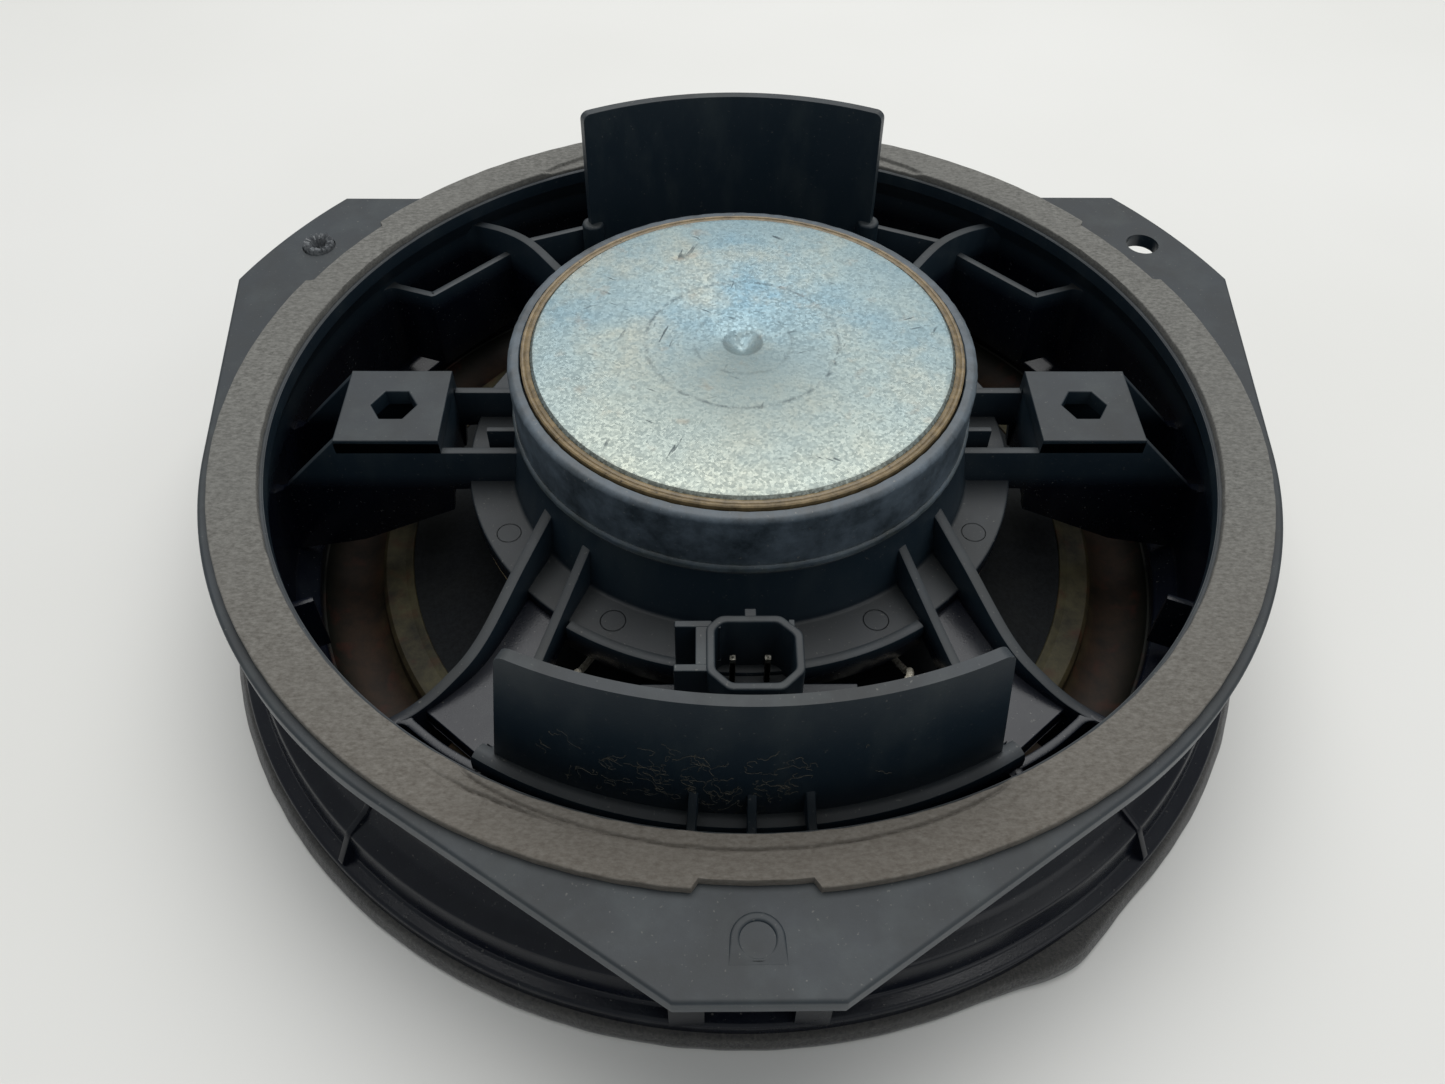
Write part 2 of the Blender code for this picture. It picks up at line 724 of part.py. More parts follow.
def surround(look):
    """The half-roll rubber surround between the cone and the basket's ledge."""
    inner, start, end, outer = SURROUND_R
    middle, reach = (start + end) / 2, (end - start) / 2
    line = [(inner, SURROUND_Z)]
    for k in range(ROLL_STEPS + 1):
        dx, dz = polar(1.0, 180 * k / ROLL_STEPS)
        line.append((middle - reach * dx, SURROUND_Z - ROLL_DEPTH * dz))
    line.append((outer, SURROUND_Z))
    upper = [(r, z + SURROUND_THICK) for r, z in reversed(line)]
    return dress(lathe("surround", line + upper), look)


def socket_outline(inset):
    """The connector's eight-sided outline, moved inwards by the inset."""
    x0, x1 = SOCKET_X[0] + inset, SOCKET_X[1] - inset
    y0, y1 = SOCKET_Y[0] + inset, SOCKET_Y[1] - inset
    cut = 3.6 - 0.6 * inset
    small = 2.3 - 0.6 * inset
    return [
        (x0 + cut, y0),
        (x1 - cut, y0),
        (x1, y0 + cut),
        (x1, y1 - cut),
        (x1 - cut, y1),
        (x0 + small, y1),
        (x0, y1 - small),
        (x0, y0 + cut),
    ]


def connector_socket(look):
    """The socket that the car's plug goes into, with its side bracket and key tab."""
    blocks = hidden_group("socket_blocks")
    base = PLATFORM_Z[1] + GAP
    body = prism("connector_socket", socket_outline(0.0), base, SOCKET_TOP)
    left = SOCKET_X[0]
    bracket = (
        ((left - BRACKET_REACH, -66.6, base), (left + 1.0, -65.0, SOCKET_TOP - 0.4)),
        ((left - BRACKET_REACH, -57.6, base), (left + 1.0, -56.2, SOCKET_TOP - 0.4)),
        ((left - 1.8, -66.0, base + 0.2), (left + 0.8, -57.0, SOCKET_TOP - 0.5)),
        ((-0.6, SOCKET_Y[1] - 1.0, 40.0), (1.4, SOCKET_Y[1] + 1.6, SOCKET_TOP - 0.3)),
    )
    for number, (low, high) in enumerate(bracket):
        helper(box(f"socket_block_{number}", low, high), blocks)
    boolean(body, "UNION", blocks)
    hollows = hidden_group("socket_hollows")
    helper(prism("socket_hollow", socket_outline(SOCKET_WALL), SOCKET_FLOOR, 52.0), hollows)
    for x in PIN_X:
        reach = PIN_HALF + GAP
        low, high = (x - reach, PIN_Y - reach, 30.0), (x + reach, PIN_Y + reach, 40.0)
        helper(box(f"socket_slot_{x}", low, high), hollows)
    boolean(body, "DIFFERENCE", hollows)
    return dress(body, look)


def terminal(name, x, side, look):
    """A connector pin that turns under the shelf into the tag that a lead is soldered to."""
    blocks = hidden_group(f"{name}_blocks")
    low = (x - PIN_HALF, PIN_Y - PIN_HALF, TAG_Z)
    body = box(name, low, (x + PIN_HALF, PIN_Y + PIN_HALF, PIN_TIP))
    near, far = sorted((x - side * PIN_HALF, side * 27.5))
    tag = box(f"{name}_tag", (near, PIN_Y - 0.3, TAG_Z + 0.1), (far, PIN_Y + 2.7, TAG_Z + 0.8))
    helper(tag, blocks)
    boolean(body, "UNION", blocks)
    return dress(body, look)


def cone_height(radius):
    """The height of the cone's rear face at this radius, on the safe side of its curve."""
    (r0, z0), (r1, z1) = CONE_NECK, CONE_EDGE
    return z0 + (z1 - z0) * (radius - r0) / (r1 - r0) + CONE_THICK


def leads(braid, wire):
    """The two braided leads from the tags to the cone, and the coil's own wires beside them."""
    for side, word in ((-1, "left"), (1, "right")):
        end = (side * 21.0, -31.0)
        rest = cone_height(math.hypot(*end)) + LEAD_R + 0.5
        path = [
            (side * 26.6, -57.6, TAG_Z - LEAD_R - 0.35),
            (side * 30.0, -53.6, TAG_Z - 2.6),
            (side * 31.0, -49.6, TAG_Z - 6.2),
            (side * 28.4, -42.0, TAG_Z - 8.4),
            (*end, rest),
        ]
        dress(tube(f"tinsel_lead_{word}", path, LEAD_R), braid)
        path = [
            (side * 19.6, -29.0, cone_height(35.0) + 0.75),
            (side * 15.6, -23.0, cone_height(27.8) + 0.75),
            (side * 12.6, -18.6, cone_height(22.5) + 0.95),
        ]
        dress(tube(f"coil_wire_{word}", path, 0.35), wire)


def main():
    clear_scene()
    axis = bpy.data.objects.new("speaker_axis", None)
    axis.location = (0.0, AXIS_Y * MM, 0.0)
    bpy.context.scene.collection.objects.link(axis)
    plastic = material("black_plastic", (0.03, 0.032, 0.035), 0.5)
    steel = material("zinc_plated_steel", (0.5, 0.55, 0.55), 0.35, 1.0)
    foam = material("grey_gasket_foam", (0.2, 0.19, 0.175), 0.95)
    felt = material("black_felt", (0.02, 0.02, 0.022), 1.0)
    ferrite = material("ferrite", (0.04, 0.045, 0.055), 0.6)
    rubber = material("black_rubber", (0.03, 0.035, 0.045), 0.55)
    adhesive = material("amber_adhesive", (0.3, 0.2, 0.09), 0.4)
    kapton = material("brown_former", (0.25, 0.12, 0.04), 0.4)
    copper = material("copper_wire", (0.6, 0.25, 0.1), 0.3, 1.0)
    cloth = material("treated_cloth", (0.55, 0.42, 0.25), 0.9)
    paper = material("black_paper", (0.015, 0.015, 0.015), 0.9)
    roll = material("brown_rubber", (0.09, 0.07, 0.045), 0.5)
    tin = material("tinned_brass", (0.7, 0.7, 0.66), 0.3, 1.0)
    grey = material("grey_plastic", (0.12, 0.13, 0.14), 0.5)

    basket(plastic)
    rear_gasket(foam)
    ring_of("front_gasket", *FRONT_GASKET_R, 0.0, FRONT_GASKET_THICK, felt)
    yoke(steel)
    ring_of("ferrite_magnet", FERRITE_BORE, FERRITE_R, MOTOR_BASE, PLATE_BOTTOM - GAP, ferrite, COARSE)
    magnet_boot(rubber)
    ring_of("plate_bead", *BEAD_R, PLATE_TOP - 1.0, PLATE_TOP - 0.3, adhesive, COARSE)
    ring_of("top_plate", TOP_PLATE_BORE, TOP_PLATE_R, *TOP_PLATE_Z, steel, COARSE)
    ring_of("coil_former", *FORMER_R, *FORMER_Z, kapton, COARSE)
    ring_of("coil_winding", FORMER_R[1] + 0.1, WINDING_R, *WINDING_Z, copper, COARSE)
    spider(cloth)
    cone(paper)
    dust_cap(paper)
    surround(roll)
    connector_socket(plastic)
    terminal("terminal_pin_left", PIN_X[0], -1, tin)
    terminal("terminal_pin_right", PIN_X[1], 1, tin)
    leads(tin, copper)
    x, y = polar(EAR_HOLE_CIRCLE, EAR_HOLE_ANGLES[1])
    circle = [polar(EAR_HOLE_R - GAP, 30 * k) for k in range(12)]
    stub = prism("fastener_stub", [(x + dx, y + dy) for dx, dy in circle], 41.0, 47.6)
    dress(stub, grey)


main()
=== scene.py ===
"""Looks of a car subwoofer speaker, lying on its front rim with the magnet up.

Shapes are worked out in millimetres about the speaker's own axis, with Z up from the table and -Y
towards the connector. They become metres in the frame's own place only where a mesh is made.
"""
import json
import math

import bmesh
import bpy
import numpy as np
from mathutils import Matrix, Vector


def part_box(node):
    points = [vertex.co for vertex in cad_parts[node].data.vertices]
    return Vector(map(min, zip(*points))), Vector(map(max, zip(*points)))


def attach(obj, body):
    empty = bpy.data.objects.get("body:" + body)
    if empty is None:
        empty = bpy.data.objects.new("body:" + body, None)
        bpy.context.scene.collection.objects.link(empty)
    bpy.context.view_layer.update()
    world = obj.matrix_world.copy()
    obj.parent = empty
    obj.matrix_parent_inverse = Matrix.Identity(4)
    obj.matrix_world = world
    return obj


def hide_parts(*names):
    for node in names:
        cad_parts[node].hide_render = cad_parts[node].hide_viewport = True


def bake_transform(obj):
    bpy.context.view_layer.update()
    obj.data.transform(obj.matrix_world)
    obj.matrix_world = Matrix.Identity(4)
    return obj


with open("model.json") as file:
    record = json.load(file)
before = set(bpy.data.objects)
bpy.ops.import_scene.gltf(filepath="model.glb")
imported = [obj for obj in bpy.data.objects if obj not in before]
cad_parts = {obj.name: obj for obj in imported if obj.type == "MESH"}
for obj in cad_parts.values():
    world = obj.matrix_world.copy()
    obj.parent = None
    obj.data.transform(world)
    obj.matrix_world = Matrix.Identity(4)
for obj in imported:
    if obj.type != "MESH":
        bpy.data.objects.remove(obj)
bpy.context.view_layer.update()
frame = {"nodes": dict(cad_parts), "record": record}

MM = 0.001
BASKET, DIAPHRAGM = "basket_assembly", "diaphragm"
TAU = 2 * math.pi


PLATE_LOW, PLATE_HIGH = (np.array(corner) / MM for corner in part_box("yoke"))
AXIS = np.append((PLATE_LOW[:2] + PLATE_HIGH[:2]) / 2, 0.0)


def box_mm(node):
    """The lowest and highest corner of a CAD node in millimetres, about the speaker's axis."""
    low, high = (np.array(corner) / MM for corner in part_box(node))
    return low - AXIS, high - AXIS


# Driving sizes, read from the frame.
PLATE_R, _, PLATE_TOP = box_mm("yoke")[1]
BOOT_R, _, BOOT_TOP = box_mm("magnet_boot")[1]
BOOT_FOOT = box_mm("magnet_boot")[0][2]
GASKET_R, _, GASKET_TOP = box_mm("rear_gasket")[1]
FELT_R, _, FELT_TOP = box_mm("front_gasket")[1]
EAR_REACH = -box_mm("basket")[0][1]
WALL_TOP = box_mm("basket")[1][2]
CONE_LOW, CONE_HIGH = box_mm("cone")
SURROUND_HIGH = box_mm("surround")[1]
SPIDER_HIGH = box_mm("spider")[1]
SOCKET_LOW, SOCKET_HIGH = box_mm("connector_socket")
MOUNTS = {mount["name"]: np.array(mount["pos_m"]) / MM - AXIS for mount in frame["record"]["mounts"]}
FLANGE_TOP = MOUNTS["left_nut_pad"][2]

# The moulding's own sizes, which no box of the frame gives.
FLANGE_R = 106.0
FLANGE_THICK = 3.2
EAR_ANGLES = np.radians((-90.0, 29.7, 150.9))
EAR_HALF = np.radians((5.8, 9.0, 8.8))
EAR_BACK_EDGE = math.radians(7.2)
EAR_HOLE_ANGLES = np.radians((30.0, 150.9))
NOTCH_HALF = np.radians((5.0, 7.0, 6.9))
EAR_TIP_R = EAR_REACH / math.cos(EAR_HALF[0])
EAR_HOLE_CIRCLE = 111.0
EAR_HOLE_R = 3.75
DRUM_R = 94.0
DRUM_WALL = (96.6, 98.8)
DRUM_TIE = 97.4
RIM_R = 109.8
LEDGE_Z = SURROUND_HIGH[2] + 0.1
HUB_R = (45.2, 47.4)
DECK_TOP = 35.5
DECK_R = 56.4
DECK_BOTTOM = 31.3
RIB = 1.8
PAD_X = 70.4
PAD_HALF = 10.4
PAD_THICK = 3.5
HEX_R = 4.6
FRONT_WALL_R, FRONT_WALL_TOP = 85.0, 69.5
BACK_WALL_R, BACK_WALL_TOP = 73.0, WALL_TOP
WALL = 2.0
WALL_HALF = 26.6
BACK_WALL_LEFT = 28.2
PIN_X = (-2.6, 3.5)
PIN_Y = -59.5
PLATE_THICK = 6.1
GASKET_INNER_R = 94.8
FELT_INNER_R = 100.4
NECK_R = 19.8
CONE_LIP_R = 74.0
ROLL_MIDDLE_R = 85.0
SPIDER_FREE_R, SPIDER_HELD_R = 22.7, 52.5
POLE_R = 18.0


# ---------------------------------------------------------------- meshes


def grid_faces(rows, columns, wrap_rows, wrap_columns):
    """The four-sided faces of a grid of points numbered row by row, as one array."""
    i = np.arange(rows if wrap_rows else rows - 1)[:, None]
    j = np.arange(columns if wrap_columns else columns - 1)[None, :]
    up, along = (i + 1) % rows, (j + 1) % columns
    corners = (i * columns + j, i * columns + along, up * columns + along, up * columns + j)
    return np.stack(np.broadcast_arrays(*corners), axis=-1).reshape(-1, 4)


def signed_volume(points, faces):
    """Six times the volume that the faces close, negative where they point inwards."""
    first = points[[face[0] for face in faces]]
    total = 0.0
    size = max(len(face) for face in faces)
    for k in range(1, size - 1):
        use = [n for n, face in enumerate(faces) if len(face) > k + 1]
        second = points[[faces[n][k] for n in use]]
        third = points[[faces[n][k + 1] for n in use]]
        total += np.einsum("ij,ij->i", first[use], np.cross(second, third)).sum()
    return total


def piece(name, points, faces, look, body=BASKET, sharp=38.0, merge=False):
    """A closed mesh from points about the speaker's axis, turned outwards, riding on a body."""
    faces = [tuple(face) for face in faces]
    points = np.asarray(points, float).reshape(-1, 3)
    if signed_volume(points, faces) < 0:
        faces = [face[::-1] for face in faces]
    mesh = bpy.data.meshes.new(name)
    mesh.from_pydata(((points + AXIS) * MM).tolist(), [], faces)
    if merge:
        work = bmesh.new()
        work.from_mesh(mesh)
        bmesh.ops.remove_doubles(work, verts=work.verts, dist=1e-7)
        work.to_mesh(mesh)
        work.free()
    mesh.shade_smooth()
    mesh.set_sharp_from_angle(angle=math.radians(sharp))
    mesh.materials.append(look)
    obj = bpy.data.objects.new(name, mesh)
    bpy.context.scene.collection.objects.link(obj)
    if body:
        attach(obj, body)
    return obj


def bevelled(obj, width, segments=2):
    """Rounds the piece's sharp edges by this width in millimetres."""
    modifier = obj.modifiers.new("rounded_edges", "BEVEL")
    modifier.width = width * MM
    modifier.segments = segments
    modifier.limit_method = "ANGLE"
    modifier.angle_limit = math.radians(40)
    modifier.harden_normals = True
    return obj


def tube_faces(rows, columns):
    """The faces of a tube of closed rings, with a flat cap at each end."""
    sides = grid_faces(rows, columns, False, True).tolist()
    return sides + [list(range(columns)), list(range((rows - 1) * columns, rows * columns))]


def fillet(outline, radius, steps=5):
    """A closed outline with each corner replaced by a curve that leaves both edges at radius
    times the corner's tangent length: B(s) = (1-s)^2 start + 2s(1-s) corner + s^2 end."""
    corner = np.asarray(outline, float)
    before, after = np.roll(corner, 1, axis=0) - corner, np.roll(corner, -1, axis=0) - corner
    long_before = np.linalg.norm(before, axis=1, keepdims=True)
    long_after = np.linalg.norm(after, axis=1, keepdims=True)
    cosine = np.sum(before / long_before * after / long_after, axis=1, keepdims=True)
    half = np.arccos(np.clip(cosine, -1, 1)) / 2
    reach = np.asarray(radius, float).reshape(-1, 1) / np.tan(np.maximum(half, 0.05))
    reach = np.minimum(reach, 0.45 * np.minimum(long_before, long_after))
    start, end = corner + before / long_before * reach, corner + after / long_after * reach
    s = np.linspace(0, 1, steps)[None, :, None]
    curve = (1 - s) ** 2 * start[:, None] + 2 * s * (1 - s) * corner[:, None] + s**2 * end[:, None]
    return curve.reshape(-1, 2)


def turn(radius, angle):
    """Points at this radius and angle about the axis."""
    return np.stack([radius * np.cos(angle), radius * np.sin(angle)], axis=-1)


def lathe(name, profile, look, body=BASKET, segments=288, sharp=38.0, merge=False, wobble=None):
    """A closed outline of (radius, height) carried round the axis: (r cos t, r sin t, z).
    wobble(radius, angle, height) may return changed radii and heights."""
    angle = np.linspace(0, TAU, segments, endpoint=False)[:, None]
    profile = np.asarray(profile, float)
    radius = np.broadcast_to(profile[:, 0], (segments, len(profile)))
    height = np.broadcast_to(profile[:, 1], (segments, len(profile)))
    if wobble:
        radius, height = wobble(radius, angle, height)
    points = np.concatenate([turn(radius, angle), height[..., None]], axis=-1)
    faces = grid_faces(segments, len(profile), True, True)
    return piece(name, points, faces, look, body, sharp, merge)


def ring_section(name, outer, inner, low, high, edge=0.5, centre=(0, 0), extra=()):
    """A flat ring between two outlines given as radius functions of the angle, its outer and
    inner top edges rounded by a quarter circle of radius edge."""
    angle = np.union1d(np.linspace(0, TAU, 480, endpoint=False), np.mod(extra, TAU))
    out, into = outer(angle), inner(angle)
    quarter = np.linspace(0, math.pi / 2, 4)
    rise = high - edge + edge * np.sin(quarter)
    heights = [low, low, *rise, high, high, *rise[::-1]]
    radii = [into, out, *(out - edge + edge * np.cos(q) for q in quarter)]
    radii += [out - edge - 0.2, into + edge + 0.2, *(into + edge - edge * np.cos(q) for q in quarter[::-1])]
    radius = np.stack([np.broadcast_to(r, angle.shape) for r in radii], axis=1)
    plan = turn(radius, angle[:, None]) + centre
    points = np.concatenate([plan, np.broadcast_to(heights, radius.shape)[..., None]], axis=-1)
    return piece(name, points, grid_faces(len(angle), len(radii), True, True), PLASTIC)


def polygon_radius(corners):
    """The radius function of a convex outline round the origin: the least c / (n . d) over its
    edges, where n . p = c is an edge's line and d the direction."""
    corners = np.asarray(corners, float)
    along = np.roll(corners, -1, axis=0) - corners
    normal = np.stack([along[:, 1], -along[:, 0]], axis=1)
    reach = np.sum(normal * corners, axis=1)
    normal, reach = normal * np.sign(reach)[:, None], np.abs(reach)

    def radius(angle):
        facing = turn(1.0, angle) @ normal.T
        return np.min(np.where(facing > 1e-9, reach / np.maximum(facing, 1e-9), np.inf), axis=-1)

    return radius


def slab(name, outline, low, high, edge=0.35):
    """A flat plate between two heights, with rounded edges."""
    count = len(outline)
    levels = [np.column_stack([outline, np.full(count, z)]) for z in (low, high)]
    made = piece(name, np.concatenate(levels), tube_faces(2, count), PLASTIC)
    return bevelled(made, edge)


def block(name, low, high, edge=0.3):
    """A box between two corners with rounded edges."""
    outline = [(low[0], low[1]), (high[0], low[1]), (high[0], high[1]), (low[0], high[1])]
    return slab(name, outline, low[2], high[2], edge)


def through(stations, count):
    """A smooth curve through the stations: cubic pieces whose slope at each station is half the
    step between its neighbours."""
    stations = np.asarray(stations, float)
    before, after = 2 * stations[:1] - stations[1:2], 2 * stations[-1:] - stations[-2:-1]
    padded = np.concatenate([before, stations, after])
    steps = np.linalg.norm(np.diff(stations[:, :2], axis=0), axis=1)
    knots = np.concatenate([[0], np.cumsum(steps)]) / steps.sum()
    places = (1 - np.cos(np.linspace(0, math.pi, count))) / 2
    span = np.clip(np.searchsorted(knots, places, side="right") - 1, 0, len(steps) - 1)
    t = ((places - knots[span]) / (knots[span + 1] - knots[span]))[:, None]
    p0, p1, p2, p3 = (padded[span + k] for k in range(4))
    square, cube = 2 * p0 - 5 * p1 + 4 * p2 - p3, 3 * p1 - p0 - 3 * p2 + p3
    return 0.5 * (2 * p1 + (p2 - p0) * t + square * t**2 + cube * t**3)


def straight(stations, count):
    """Points along the stations joined by straight lines, close together at both ends."""
    stations = np.asarray(stations, float)
    steps = np.linalg.norm(np.diff(stations[:, :2], axis=0), axis=1)
    knots = np.concatenate([[0], np.cumsum(steps)]) / steps.sum()
    places = np.union1d((1 - np.cos(np.linspace(0, math.pi, count))) / 2, knots)
    return np.column_stack([np.interp(places, knots, column) for column in stations.T])


def rib(name, line, thickness=RIB, root=(0.0, 0.0), edge=0.35):
    """An upright plate along a line of (x, y, bottom, top) points. Its section is a rectangle
    with a rounded top, and each end widens as a quarter circle of radius root where it meets
    another wall: extra = root - sqrt(root^2 - (root - distance)^2)."""
    centre, low, high = line[:, :2], line[:, 2], line[:, 3]
    slope = np.gradient(centre, axis=0)
    slope /= np.linalg.norm(slope, axis=1, keepdims=True)
    side = np.stack([-slope[:, 1], slope[:, 0]], axis=1)
    run = np.concatenate([[0], np.cumsum(np.linalg.norm(np.diff(centre, axis=0), axis=1))])
    half = np.full(len(line), thickness / 2)
    for radius, distance in zip(root, (run, run[-1] - run)):
        if radius:
            inside = np.clip(radius - distance, 0, radius)
            half = half + radius - np.sqrt(radius**2 - inside**2)
    quarter = np.linspace(0, math.pi / 2, 3)
    across = [-half] + [-half + edge - edge * np.cos(q) for q in quarter]
    across += [half - edge + edge * np.cos(q) for q in quarter[::-1]] + [half]
    rise = [low] + [high - edge + edge * np.sin(q) for q in quarter]
    rise += [high - edge + edge * np.sin(q) for q in quarter[::-1]] + [low]
    across, rise = np.stack(across, axis=1), np.stack(rise, axis=1)
    plan = centre[:, None] + side[:, None] * across[..., None]
    points = np.concatenate([plan, rise[..., None]], axis=-1)
    return piece(name, points, tube_faces(*across.shape), PLASTIC)


def arc(radius, centre, half, low, top, count=60):
    """A line for rib() along an arc: centre and half in degrees, top a height or a function of
    the angle from the centre."""
    offset = np.linspace(-half, half, count)
    heights = top(offset) if callable(top) else np.full(count, top)
    return np.column_stack([turn(radius, np.radians(centre + offset)), np.full(count, low), heights])


# ---------------------------------------------------------------- finishes


def linear(code):
    """A linear colour from an sRGB hex value."""
    value = np.array([int(code[k : k + 2], 16) for k in (0, 2, 4)]) / 255
    value = np.where(value <= 0.04045, value / 12.92, ((value + 0.055) / 1.055) ** 2.4)
    return (*value.tolist(), 1.0)


def add(tree, kind, *inputs, out=None, **settings):
    """Adds a node and gives its first output, or the one named. The inputs are values, or the
    outputs that feed them, in the order of the node's sockets. A None leaves its socket alone."""
    made = tree.nodes.new("ShaderNode" + kind)
    for key, value in settings.items():
        setattr(made, key, value)
    for socket, value in zip([socket for socket in made.inputs if socket.enabled], inputs):
        if isinstance(value, bpy.types.NodeSocket):
            tree.links.new(value, socket)
        elif value is not None:
            socket.default_value = value
    return made.outputs[out] if out else next(socket for socket in made.outputs if socket.enabled)


def finish(name, **sockets):
    """A new material with its Principled shader's constant sockets set."""
    made = bpy.data.materials.new(name)
    made.use_nodes = True
    tree = made.node_tree
    shader = tree.nodes["Principled BSDF"]
    for key, value in sockets.items():
        shader.inputs[key.replace("_", " ")].default_value = value
    return made, tree, shader, add(tree, "TexCoord", out="Object")


def grain(tree, place, size, low=None, high=None, detail=3.0, rough=0.55, stretch=None):
    """Noise whose features are about size millimetres, stretched along the given axes. With low
    and high it is 0 under the one and 1 over the other."""
    if stretch:
        place = add(tree, "Mapping", place, None, None, stretch)
    cloud = add(tree, "TexNoise", place, 1 / (size * MM), detail, rough)
    return cloud if low is None else add(tree, "MapRange", cloud, low, high)


def layered(tree, base, *layers):
    """Colours laid over a base. Each is its sRGB code and the factors whose product is its share."""
    colour = linear(base)
    for code, share, *factors in layers:
        for factor in factors:
            share = add(tree, "Math", share, factor, operation="MULTIPLY")
        colour = add(tree, "Mix", share, colour, linear(code), data_type="RGBA")
    return colour


def coat(tree, shader, colour, rough=None, relief=None, depth=0.05, strength=0.6):
    """Joins a colour, a roughness and a bump of this depth in millimetres to the shader."""
    tree.links.new(colour, shader.inputs["Base Color"])
    if rough:
        tree.links.new(rough, shader.inputs["Roughness"])
    bump = add(tree, "Bump", strength, depth * MM, None, relief)
    tree.links.new(bump, shader.inputs["Normal"])


def facing_up(tree):
    """1 on faces that look straight up, 0 on upright ones."""
    normal = add(tree, "NewGeometry", out="Normal")
    return add(tree, "MapRange", add(tree, "SeparateXYZ", normal, out="Z"), 0.3, 0.95)


def from_axis(tree, place):
    """The place measured from the speaker's axis, and its distance from it."""
    centred = add(tree, "Mapping", place, tuple(-AXIS * MM))
    flat = add(tree, "VectorMath", centred, (1.0, 1.0, 0.0), operation="MULTIPLY")
    return centred, add(tree, "VectorMath", flat, operation="LENGTH")


def moulded_polypropylene():
    """Talc-filled black polypropylene, injection moulded: near black on its upright faces, while dust and a
    fine spark-eroded grain turn the level ones a soft grey. Below the deck top it is painted a darker,
    bluish navy with no dust, as painted shade and sheen in the recesses."""
    made, tree, shader, place = finish("black_polypropylene", IOR=1.49)
    patch = grain(tree, place, 26.0, 0.35, 0.72, 6.0, 0.68)
    smear = grain(tree, place, 7.0, 0.48, 0.75, 5.0, 0.6, (1.0, 1.0, 0.35))
    speck = grain(tree, place, 0.7, 0.68, 0.76, 2.0)
    height = add(tree, "SeparateXYZ", place, out="Z")
    # Painted shade: 0 below the deck top, where the colour stays the darker bluish navy of the recesses, 1
    # above it.
    above_painted_shade = add(tree, "MapRange", height, (DECK_TOP - 2.1) * MM, (DECK_TOP + 1.9) * MM)
    film = add(tree, "MapRange", height, (DECK_TOP - 1.5) * MM, (FLANGE_TOP + 3.0) * MM, 0.08, 0.26)
    cover = add(tree, "MapRange", patch, 0.0, 1.0, 0.45, 1.0)
    # Dust on level faces, left off below the deck top so that the painted recess shade stays dark.
    settled = add(tree, "MapRange", height, (DECK_TOP - 1.9) * MM, (DECK_TOP - 0.3) * MM)
    settled = add(tree, "Math", settled, facing_up(tree), operation="MULTIPLY")
    colour = layered(
        tree, "080c16", ("1b2730", above_painted_shade), ("292b2b", settled, cover), ("48504f", smear, film),
        ("8a8880", speck, 0.25),
    )
    rough = add(tree, "MapRange", patch, 0.0, 1.0, 0.2, 0.32)
    rough = add(tree, "Math", settled, 0.22, rough, operation="MULTIPLY_ADD")
    rough = add(tree, "Math", above_painted_shade, 0.13, rough, operation="MULTIPLY_ADD")
    gloss = add(tree, "MapRange", above_painted_shade, 0.0, 1.0, 0.3, 0.5)
    tree.links.new(gloss, shader.inputs["Specular IOR Level"])
    coat(tree, shader, colour, rough, grain(tree, place, 0.45), 0.035, 0.5)
    return made


def gasket_foam():
    """Closed-cell polyethylene foam, skived from sheet: warm grey, matt, with a short fibrous
    mottle drawn twice as coarse as it is so that it shows, and a browner front where dirt sticks."""
    made, tree, shader, place = finish("grey_gasket_foam", Roughness=0.95)
    mottle = grain(tree, place, 0.55, None, None, 4.0, 0.7, (0.5, 1.0, 1.0))
    fine = grain(tree, place, 0.35, None, None, 2.0, 0.6)
    cloud = grain(tree, place, 30.0, 0.3, 0.7, 4.0)
    front = add(tree, "MapRange", add(tree, "SeparateXYZ", place, out="Y"), -0.02, -0.095)
    tone = add(tree, "MapRange", mottle, 0.3, 0.7)
    colour = layered(tree, "4b4a46", ("7a7974", tone), ("62615d", cloud, 0.35), ("5a4f43", front, 0.45))
    coat(tree, shader, colour, None, add(tree, "Math", mottle, fine), 0.07)
    return made


def needled_felt():
    """Black needle-punched polyester felt: no gloss, a fuzzy nap that catches a little light."""
    made, tree, shader, place = finish("black_felt", Roughness=1.0, Sheen_Weight=0.35, Sheen_Roughness=0.6)
    nap = grain(tree, place, 0.6, None, None, 5.0, 0.8)
    colour = layered(tree, "161617", ("46443f", add(tree, "MapRange", nap, 0.35, 0.7)))
    coat(tree, shader, colour, None, add(tree, "Math", nap, grain(tree, place, 4.0)), 0.35, 0.8)
    return made


